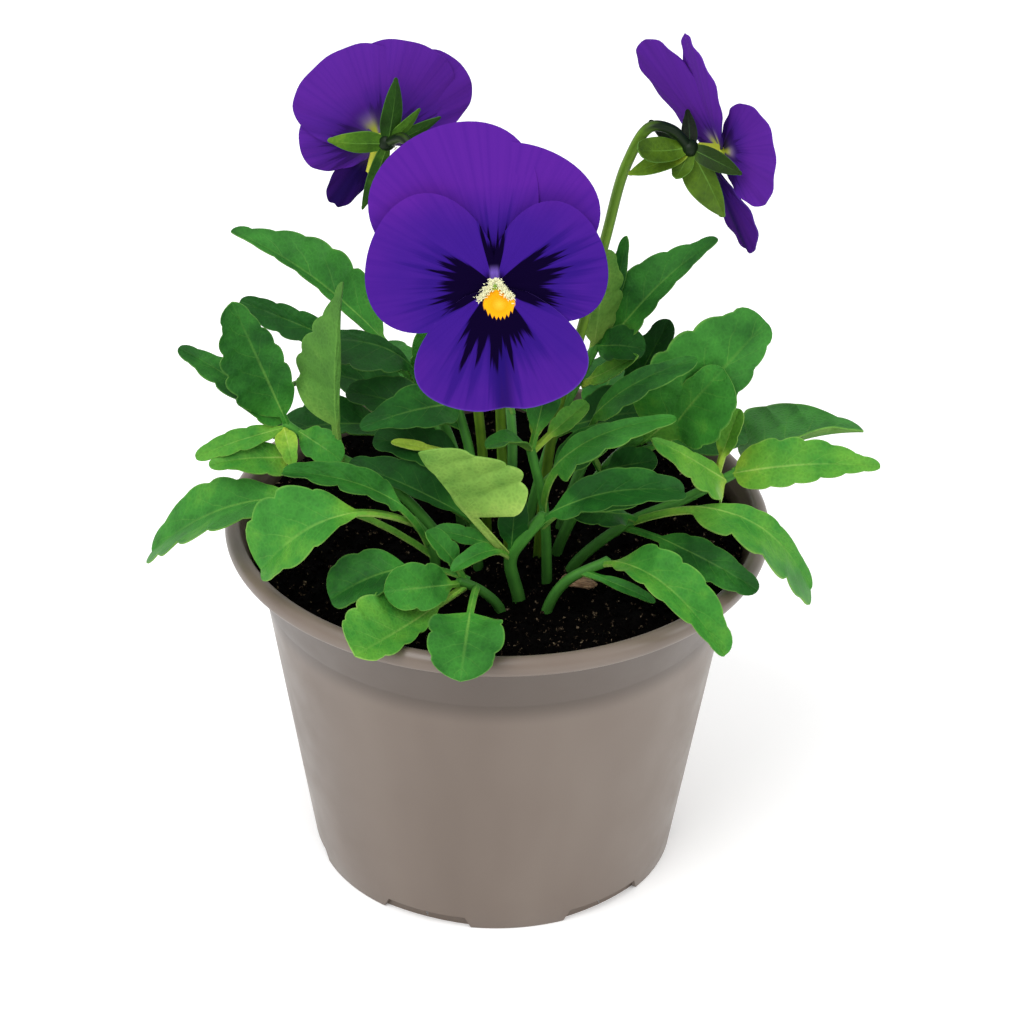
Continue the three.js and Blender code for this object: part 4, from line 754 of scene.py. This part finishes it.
def add_leaf(skin, row, chance, sepal_like=False):
    """A leaf with blunt teeth, sunk veins on its upper side and a raised midrib below."""
    start, tip, face = (np.array(row[key], float) for key in ("start", "tip", "face"))
    chord = unit(tip - start)
    up = unit(face - chord * np.dot(face, chord))
    middle = (start + tip) / 2 + up * 2 * row["arch"]
    stalk, (near, far), (rise, fall) = row["stalk"], row["halves"], row["shape"]
    length = np.linalg.norm(tip - start)
    blade_length = length * (1 - stalk)
    teeth = max(3, round(blade_length / TOOTH_PITCH)) if row["toothed"] else 0
    end = SEPAL_TIP if sepal_like else min(TIP_ROUND, 0.3 * blade_length)
    # Even rows along the blade, closer ones over its rounded tip and a few along the leaf's own stalk
    blade = np.linspace(0, 1 - end / blade_length, 1 + (8 * teeth or 26))
    blade = np.append(blade, 1 - end / blade_length * np.array([0.75, 0.5, 0.3, 0.13, 0.04, 0]))
    shares = np.concatenate([np.linspace(0, stalk, 6, endpoint=False) if stalk else [], stalk + (1 - stalk) * blade])
    columns = np.linspace(-1, 1, 9 if sepal_like else 15)
    distance = np.abs(columns)
    halves = np.where(columns < 0, near, far)
    peak_at = rise / (rise + fall)
    peak = peak_at ** rise * (1 - peak_at) ** fall
    wave = chance.uniform(0, CIRCLE)
    twist = chance.uniform(-0.06, 0.06)
    depths = chance.uniform(0.5, 1.3, 2 * teeth + 4) * CRENATION
    upper, lower, cloth, ribs = [], [], [], []
    for s in shares:
        t = max(0, (s - stalk) / (1 - stalk))
        at = (1 - s) ** 2 * start + 2 * s * (1 - s) * middle + s ** 2 * tip
        way = unit(2 * (1 - s) * (middle - start) + 2 * s * (tip - middle))
        normal = unit(up - way * np.dot(up, way))
        side = np.cross(way, normal)
        c, d = math.cos(twist * t), math.sin(twist * t)
        side, normal = side * c + normal * d, normal * c - side * d
        left = (1 - t) * blade_length
        notches = []
        for half_side in (0, 1):
            phase = teeth * t + 0.5 * half_side
            bulge = math.sin(math.pi * (phase % 1) ** 1.5) ** 0.45 if teeth else 1
            depth = depths[2 * int(phase) + half_side] * smoothstep(t, 0.08, 0.3) * (left >= end)
            notches.append(1 - depth * (1 - bulge))
        inner = min(t, 1 - end / blade_length)
        spread = 0.97 * row["width"] / 2 * (inner ** rise * (1 - inner) ** fall) / peak
        if left < end:
            spread *= math.sqrt(1 - (1 - left / end) ** 2)
        half = max(spread, PETIOLE_HALF * smoothstep(left, 0, 5), 0.12)
        blend = smoothstep(t, 0, 0.3)
        across = columns * (np.where(columns < 0, near * notches[0], far * notches[1]) * half)
        bowl = half * row["fold"] * blend * halves * distance ** 1.25
        rib = VEINS * (t - VEIN_SLANT * distance)
        quilt = QUILT * blend * np.sin(math.pi * rib) ** 2 * np.sin(math.pi * np.minimum(distance * 1.05, 1))
        frill = MARGIN_WAVE * blend * distance ** 3 * math.sin(3 * math.pi * t + wave) * min(1, half / 6)
        core = (PETIOLE_THICKNESS + (BLADE_THICKNESS - PETIOLE_THICKNESS) * blend) / 2
        thick = EDGE_HALF + (core - EDGE_HALF) * np.exp(-(across / 0.6) ** 2)
        groove = MIDRIB_GROOVE * blend * np.exp(-(across / 0.3) ** 2)
        keel = MIDRIB_KEEL * blend * (1 - t) * np.exp(-(across / 0.45) ** 2)
        height = bowl + frill + (0 if sepal_like else quilt * min(1, half / 5))
        upper.append(at + np.outer(across, side) + np.outer(height + thick - groove, normal))
        lower.append(at + np.outer(across, side) + np.outer(height - thick - keel, normal))
        cloth.append(np.stack([columns, np.full(len(columns), t)], 1))
        ribs.append(rib + 10 * (t <= 0))
    skin.sheet(np.array(upper), np.array(lower), np.concatenate(cloth), np.concatenate(ribs), tone=row["tone"],
               marks=(length, row["width"], chance.uniform(0, 50)))


def round_corners(profile, times):
    """Cuts every inner corner of an open line, which rounds it."""
    for _ in range(times):
        pairs = [(np.array(a), np.array(b)) for a, b in zip(profile, profile[1:])]
        cut = [tuple(a * (1 - share) + b * share) for a, b in pairs for share in (0.25, 0.75)]
        profile = [profile[0], *cut, profile[-1]]
    return profile


def circle(radius, z, sides):
    """Points of a level circle round the pot's axis."""
    return [(radius * math.cos(CIRCLE * j / sides), radius * math.sin(CIRCLE * j / sides), z) for j in range(sides)]


def solid_body(name, points, faces):
    """A closed body in the scene with all its faces turned outwards."""
    mesh = new_mesh(name, points, faces)
    fixed = bmesh.new()
    fixed.from_mesh(mesh)
    bmesh.ops.remove_doubles(fixed, verts=fixed.verts, dist=1e-7)
    bmesh.ops.recalc_face_normals(fixed, faces=fixed.faces)
    fixed.to_mesh(mesh)
    fixed.free()
    return new_object(name, mesh)


def lathe(name, profile, sides):
    """A round body from a line that starts and ends on its axis."""
    rings = [point for radius, z in profile[1:-1] for point in circle(radius, z, sides)]
    points = [(0, 0, profile[0][1]), *rings, (0, 0, profile[-1][1])]
    last = len(points) - 1
    faces = []
    for j in range(sides):
        k = (j + 1) % sides
        faces += [(0, 1 + j, 1 + k), (last, last - sides + k, last - sides + j)]
        faces += [(i + j, i + j + sides, i + k + sides, i + k) for i in range(1, last - sides, sides)]
    return solid_body(name, points, faces)


def prism(name, lower, upper):
    """A body between two level outlines of as many points."""
    number = len(lower)
    faces = [range(number), range(2 * number - 1, number - 1, -1), *band(2, number)]
    return solid_body(name, [*lower, *upper], faces)


def notch_space(angle):
    """The space of one foot notch, which flares towards the ground."""
    half = math.radians(NOTCH_SPAN / 2)
    turns = np.linspace(-half, half, 13)
    corners = [(NOTCH_FLOOR_RADIUS, t) for t in turns] + [(FOOT_RADIUS + 4, t) for t in turns[::-1]]
    c, s = math.cos(math.radians(angle)), math.sin(math.radians(angle))
    outlines = []
    for z, flare in ((-NOTCH_HEIGHT, NOTCH_FLARE), (NOTCH_HEIGHT, 1)):
        places = [(radius * math.cos(t), radius * math.sin(t) * flare) for radius, t in corners]
        outlines.append([(x * c - y * s, x * s + y * c, z) for x, y in places])
    return prism("notch_space", *outlines)


def drain_space(angle):
    """The space of one round hole through the pot's floor."""
    x, y = DRAIN_CIRCLE * math.cos(math.radians(angle)), DRAIN_CIRCLE * math.sin(math.radians(angle))
    outlines = [np.array(circle(DRAIN_RADIUS, z, DRAIN_SIDES)) + (x, y, 0) for z in (1, 2 * FLOOR_TOP)]
    return prism("drain_space", *outlines)


def bake(body):
    """Makes what a body's modifiers give its own mesh."""
    mesh = bpy.data.meshes.new_from_object(body.evaluated_get(bpy.context.evaluated_depsgraph_get()))
    body.modifiers.clear()
    body.data = mesh


def make_pot():
    """The pot, with a rounded lip, a crisp step under the band and the notches and holes cut from it."""
    rise, widen = BAND_BOTTOM - FOOT_EDGE, WALL_TOP_RADIUS - FOOT_RADIUS
    pot = lathe("taupe_pot", [
        (0, FLOOR_BOTTOM), (FOOT_INNER_RADIUS - FOOT_EDGE, FLOOR_BOTTOM), (FOOT_INNER_RADIUS, 0),
        (FOOT_RADIUS - FOOT_EDGE, 0), (FOOT_RADIUS - 0.15, 0.15), (FOOT_RADIUS, FOOT_EDGE),
        *[(FOOT_RADIUS + widen * s, FOOT_EDGE + rise * s) for s in np.linspace(0.1, 0.994, 8)],
        (WALL_TOP_RADIUS + 0.05, BAND_BOTTOM), (WALL_TOP_RADIUS + 0.4, BAND_BOTTOM + 0.15),
        (WALL_TOP_RADIUS + BAND_STEP, BAND_BOTTOM + BAND_STEP),
        *round_corners([(RIM_RADIUS - inward, z) for inward, z in LIP_SECTION], 2),
        (WALL_TOP_RADIUS - WALL, BAND_BOTTOM), (FOOT_RADIUS - WALL + FLOOR_EDGE, FLOOR_TOP + FLOOR_EDGE),
        (FOOT_RADIUS - WALL - FLOOR_EDGE, FLOOR_TOP), (0, FLOOR_TOP),
    ], POT_SIDES)
    cutters = [make(angle) for angle in NOTCH_ANGLES for make in (notch_space, drain_space)]
    for cutter in cutters:
        cut = pot.modifiers.new("cut", "BOOLEAN")
        cut.operation = "DIFFERENCE"
        cut.solver = "EXACT"
        cut.object = cutter
    bake(pot)
    for cutter in cutters:
        bpy.data.objects.remove(cutter)
    pot.data.materials.clear()
    dress(pot.data, 32, pot_skin)
    settle(pot, "pot_plastic", "pot")


def soil_height(x, y):
    """The solid's own top: a mound under the plant, broad lumps and a bank up to the wall."""
    off = math.hypot(x - MOUND_PLACE[0], y - MOUND_PLACE[1]) / MOUND_SPREAD
    mound = MOUND_HEIGHT * math.exp(-off ** 2)
    big = 0.5 * math.sin(0.42 * x + 0.9) * math.cos(0.37 * y)
    small = 0.35 * math.sin(0.83 * x - 0.61 * y)
    bank = SOIL_BANK * smoothstep(math.hypot(x, y), BANK_START, WALL_TOP_RADIUS)
    return SOIL_LEVEL + mound + big + small + bank


def crumb_tree():
    """Scatters crumbs over the upward faces of the soil; each has its own size and turn."""
    tree = bpy.data.node_groups.new("compost_crumbs", "GeometryNodeTree")
    tree.interface.new_socket("Soil", in_out="INPUT", socket_type="NodeSocketGeometry")
    tree.interface.new_socket("Crumbs", in_out="OUTPUT", socket_type="NodeSocketGeometry")
    for name, value in CRUMBS.items():
        tree.interface.new_socket(name, in_out="INPUT", socket_type="NodeSocketFloat").default_value = value
    soil, density, smallest, largest, _ = add(tree, "NodeGroupInput").outputs
    height = add(tree, "SeparateXYZ", add(tree, "GeometryNodeInputNormal")).outputs["Z"]
    upward = add(tree, "FunctionNodeCompare", height, 0.5, operation="GREATER_THAN")
    points = add(tree, "GeometryNodeDistributePointsOnFaces", Mesh=soil, Selection=upward, Density=density, Seed=11)
    size = add(tree, "FunctionNodeRandomValue", smallest, largest, data_type="FLOAT", Seed=5)
    turn = add(tree, "FunctionNodeRandomValue", (0, 0, 0), (6.28, 6.28, 6.28), data_type="FLOAT_VECTOR", Seed=7)
    stretch = add(tree, "FunctionNodeRandomValue", (0.5, 0.6, 0.4), (1.4, 1, 0.8), data_type="FLOAT_VECTOR", Seed=9)
    placed = add(tree, "GeometryNodeInstanceOnPoints", Points=points, Rotation=turn,
                 Instance=add(tree, "GeometryNodeMeshIcoSphere", Radius=1, Subdivisions=1),
                 Scale=add(tree, "VectorMath SCALE", stretch, size))
    finish = add(tree, "GeometryNodeSetMaterial", Geometry=add(tree, "GeometryNodeRealizeInstances", placed),
                 Material=crumb_skin)
    add(tree, "NodeGroupOutput", finish)
    return tree


def make_soil():
    """The compost: a lumpy top with loose crumbs, and a plain block inside the pot."""
    points = [(0, 0, soil_height(0, 0))]
    for i in range(1, SOIL_RINGS + 1):
        for x, y, _ in circle(SOIL_EDGE * i / SOIL_RINGS, 0, SOIL_SIDES):
            lump = sum(high * noise.noise(Vector((x / long, y / long, layer))) for high, long, layer in LUMPS)
            points.append((x, y, soil_height(x, y) + lump * (1 if i < SOIL_RINGS else 0.2) - SOIL_DROP))
    lower = [(SOIL_EDGE, SOIL_LEVEL), (WALL_TOP_RADIUS - WALL - 0.6, BAND_BOTTOM),
             (FOOT_RADIUS - WALL - 2.2, FLOOR_TOP + 0.3)]
    for radius, z in lower:
        points += circle(radius, z, SOIL_SIDES)
    faces = [(0, 1 + j, 1 + (j + 1) % SOIL_SIDES) for j in range(SOIL_SIDES)]
    faces += [(a, d, c, b) for a, b, c, d in band(SOIL_RINGS + len(lower), SOIL_SIDES, 1)]
    faces.append(range(len(points) - 1, len(points) - 1 - SOIL_SIDES, -1))
    block = solid_body("compost_block", points, faces)
    block.data.materials.append(compost)
    block.data.shade_smooth()
    crumbs = new_object("compost_crumbs", block.data.copy())
    scatter = crumbs.modifiers.new("scatter", "NODES")
    scatter.node_group = crumb_tree()
    for item in scatter.node_group.interface.items_tree:
        if item.name in CRUMBS:
            scatter[item.identifier] = CRUMBS[item.name]
    bake(crumbs)
    settle(block, "potting_soil", "soil")
    settle(crumbs, "potting_soil")


def make_chip():
    """The bark chip, with worn edges and a fibrous surface."""
    cut = bmesh.new()
    cut.from_mesh(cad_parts["bark_chip"].data)
    bmesh.ops.remove_doubles(cut, verts=cut.verts, dist=1e-6)
    bmesh.ops.dissolve_limit(cut, angle_limit=0.02, verts=cut.verts, edges=cut.edges)
    bmesh.ops.bevel(cut, geom=cut.edges[:], offset=0.0003, segments=2, affect="EDGES")
    bmesh.ops.triangulate(cut, faces=cut.faces)
    bmesh.ops.subdivide_edges(cut, edges=cut.edges[:], cuts=2, use_grid_fill=True)
    for vertex in cut.verts:
        vertex.co += vertex.normal * 0.00022 * noise.noise(vertex.co * 900)
    mesh = bpy.data.meshes.new("bark_flake")
    cut.to_mesh(mesh)
    cut.free()
    dress(mesh, 40, bark_skin)
    settle(new_object("bark_flake", mesh), "bark", "bark_chip")


def make_shoot(name, shoot, chance):
    """One leafy shoot, its tapered stem with its leaves."""
    skin = Skin()
    points, along = smooth_path(rooted(shoot), 8)
    share = np.linspace(0, 1, len(points))
    radii = shoot.get("radius", STEM_RADIUS) * (1 - 0.2 * share)
    # Painted shade: the stem's tone is darkest at its foot and lightens halfway up, below which the leaves shade it
    add_tube(skin, points, along, radii, 12, 0.02 + 0.3 * smoothstep(share, 0.05, 0.5), 0.05)
    for row in shoot["leaves"]:
        add_leaf(skin, row, chance)
    skin.piece(f"{name}_foliage", [leaf_skin, stem_skin], "leaf", name)


def compass(bloom):
    """A bloom's face, its top between the two upper petals, and its right-hand side as seen from the front."""
    face = unit(bloom["face"])
    top = sum(unit(row["tip"]) for row in bloom["petals"] if row["kind"] == "upper")
    top = unit(top - face * np.dot(top, face))
    return face, top, np.cross(top, face)


def add_petal(skin, bloom, row, seed):
    """One petal: a fan from its narrow claw to a broad, softly ruffled edge."""
    claw = np.array(bloom["throat"], float) + row["claw"]
    reach = np.array(bloom["throat"], float) + row["tip"] - claw
    length = np.linalg.norm(reach)
    x = reach / length
    face = np.array(row["face"] or bloom["face"], float)
    z = unit(face - x * np.dot(face, x))
    y = np.cross(z, x)
    share = ((np.arange(PETAL_RINGS + 1) / PETAL_RINGS) ** 0.9)[:, None]
    share[0] = 0.012
    tau = (PETAL_OPENING * (1 - 2 * np.arange(PETAL_SPANS + 1) / PETAL_SPANS))[None, :]
    turn = math.pi * tau
    along = length * share * (1 + np.cos(turn)) / 2
    if row["kind"] == "lower":
        along = along * (1 - 0.035 * share ** 6 * np.exp(-(tau / 0.045) ** 2))
    across = row["half"] * share * np.sin(turn) * (1 + row["broad"] * np.cos(turn))
    rise = row["layer"] * np.minimum(1, 2.4 * share) * (1 - 0.55 * share ** 2) * 0.75
    lean = row["bend"] * (along / length) ** 2 + row["cup"] * (across / row["half"]) ** 2
    wave = 0.38 * share ** 3 * np.sin(math.pi * (RUFFLES * tau + row["phase"]))
    frill = 0.22 * share ** 6 * np.sin(math.pi * (11.3 * tau + 2.1 * row["phase"]))
    crease = -0.25 * share * (1 - share) * np.cos(math.pi * (9 * tau + row["phase"]))
    height = rise + lean + wave + frill + crease
    half_thick = 0.16 + 0.1 * (1 - share)
    flat = claw + along[..., None] * x + across[..., None] * y
    upper, lower = (flat + (height + lift)[..., None] * z for lift in (half_thick, -half_thick))
    # Where each point is from the throat, to the right and up, at the size of the front bloom's marks
    _, top, right = compass(bloom)
    turns = np.arctan2(across, along)
    clockwise = math.atan2(np.dot(x, right), np.dot(x, top)) - turns
    out = np.hypot(along, across) / bloom["marking"]
    cloth = np.stack([out * np.sin(clockwise), out * np.cos(clockwise)], -1).reshape(-1, 2)
    marks = [(angle, KINDS[row["kind"]], seed) for angle in np.tile(turns.ravel(), 2)]
    skin.sheet(upper, lower, cloth, np.broadcast_to(share, height.shape).ravel(), tone=row["painted_shade"], marks=marks)


def add_tuft(skin, bloom, side, chance):
    """The cushion of short hairs beside the throat, from its top outwards and down to the eye."""
    throat = np.array(bloom["throat"], float)
    face, top, right = compass(bloom)
    for _ in range(TUFT_HAIRS):
        share = chance.uniform(0, 1)
        foot = (throat + side * right * (0.1 + 3.2 * share + chance.normal(0, 0.4))
                + top * (1 - 3.6 * share + chance.normal(0, 0.4)) + face * 0.8)
        way = unit(side * right * chance.uniform(-0.2, 0.9) + top * chance.uniform(-0.9, 0.5)
                   + face * chance.uniform(0.5, 1.1))
        across = unit(np.cross(way, [0.3, 0.2, 0.9]))
        other = np.cross(way, across)
        ring = [foot + HAIR_RADIUS * (across * math.cos(a) + other * math.sin(a)) for a in (0, 2.09, 4.19)]
        tip = foot + way * chance.uniform(0.5, 0.95)
        skin.shell([*ring, tip], [(0, 1, 3), (1, 2, 3), (2, 0, 3), (2, 1, 0)], 2, tone=[0.3, 0.3, 0.3, 1])


def make_petals(name, bloom, chance):
    """The five petals, the cream tufts, the ball of the throat, its short neck and the spur."""
    skin = Skin()
    for number, row in enumerate(bloom["petals"]):
        add_petal(skin, bloom, row, 3.7 * number + 11 * bloom["marking"])
    for side in (-1, 1):
        add_tuft(skin, bloom, side, chance)
    throat, face, back = np.array(bloom["throat"], float), unit(bloom["face"]), np.array(bloom["receptacle"], float)
    add_ball(skin, throat - face * 0.9, 1.6, 0.55)
    add_ball(skin, throat + face * 0.75, 0.6, -0.2)
    neck = smooth_path([throat, throat + back * 0.5, throat + back * (1 - 2.2 / np.linalg.norm(back))], 4)
    add_tube(skin, *neck, 1.3, 14, 0.6)
    points, along = smooth_path([throat + p for p in bloom["spur"]], 8)
    radii = bloom.get("spur_radius", 1.1) * np.linspace(1.05, 0.85, len(points))
    add_tube(skin, points, along, radii, 14, 0.75)
    skin.piece(f"{name}_velvet", [petal_skin, throat_skin, tuft_skin], "petal", f"{name}_petals")


def make_stalk(name, bloom, chance):
    """The flower stalk with its hooked end, its receptacle and the sepals."""
    skin = Skin()
    throat = np.array(bloom["throat"], float)
    centre = throat + bloom["receptacle"]
    points, along = smooth_path([*rooted(bloom), centre], 12)
    # Painted shade on the stalk's hook and on the receptacle, which lie in shadow
    tones = 0.42 - bloom["hook_shade"] * smoothstep(np.linspace(0, 1, len(points)), 0.72, 0.84)
    add_tube(skin, points, along, STALK_RADIUS, 14, tones, 0.06)
    add_ball(skin, centre, 1.9, 0.42 - bloom["hook_shade"])
    for row in bloom["sepals"]:
        shaped = leaf(centre, throat + row["tip"], row["face"], row["width"], row["tone"], stalk=0, arch=-1,
                      shape=row["shape"], halves=row["halves"], fold=0.2, toothed=False)
        add_leaf(skin, shaped, chance, sepal_like=True)
    skin.piece(f"{name}_calyx", [sepal_skin, stalk_skin], "flower_stalk", f"{name}_stalk")


def make_floor():
    """A plain pale studio floor, a white sheet lit softly from below."""
    mesh = bpy.data.meshes.new("studio_floor")
    mesh.from_pydata([(-6, -6, 0), (6, -6, 0), (6, 6, 0), (-6, 6, 0)], [], [(0, 1, 2, 3)])
    mesh.materials.append(make_material("matt_white_paper", paper_surface))
    new_object("studio_floor", mesh)


def make_light(name, place, aim, size, power):
    """A round softbox that looks at a point."""
    lamp = bpy.data.lights.new(name, "AREA")
    lamp.shape = "DISK"
    lamp.size = size
    lamp.energy = power
    holder = new_object(name, lamp)
    holder.location = place
    holder.rotation_euler = (Vector(place) - Vector(aim)).to_track_quat("Z", "Y").to_euler()


def make_camera():
    """The photograph's camera, which looks along its own line to the aim."""
    ahead = np.array([0, math.cos(CAMERA_RISE), -math.sin(CAMERA_RISE)])
    place = (CAMERA_AIM - CAMERA_DISTANCE * ahead + POT_AXIS) * MM
    right = np.array([1, 0, 0])
    up = np.cross(right, ahead)
    level, lean = math.cos(CAMERA_ROLL), math.sin(CAMERA_ROLL)
    across, above = level * right + lean * up, -lean * right + level * up
    lens = bpy.data.cameras.new("studio_camera")
    lens.sensor_width = SENSOR_WIDTH
    lens.lens = LENS_PIXELS / PHOTO_PIXELS * SENSOR_WIDTH
    lens.clip_start = 0.05
    lens.clip_end = 30
    camera = new_object("studio_camera", lens)
    camera.matrix_world = Matrix.Translation(place) @ Matrix((across, above, -ahead)).transposed().to_4x4()
    bpy.context.scene.camera = camera


chance = np.random.default_rng(4)
make_pot()
make_soil()
make_chip()
for name, shoot in SHOOTS.items():
    make_shoot(name, shoot, chance)
for name, bloom in BLOOMS.items():
    make_petals(name, bloom, chance)
    make_stalk(name, bloom, chance)
make_floor()
make_camera()
make_light("high_softbox", (-0.5, -0.7, 1.3), (0, 0, 0.1), 1.1, 14)
make_light("right_softbox", (1.1, -0.3, 0.7), (0, 0, 0.1), 0.8, 4)

world = bpy.data.worlds.new("white_studio")
world.use_nodes = True
world.node_tree.nodes.clear()
add(world.node_tree, "OutputWorld", add(world.node_tree, "Background", linear("#ffffff"), 0.85))
bpy.context.scene.world = world
bpy.context.scene.view_settings.view_transform = "Standard"
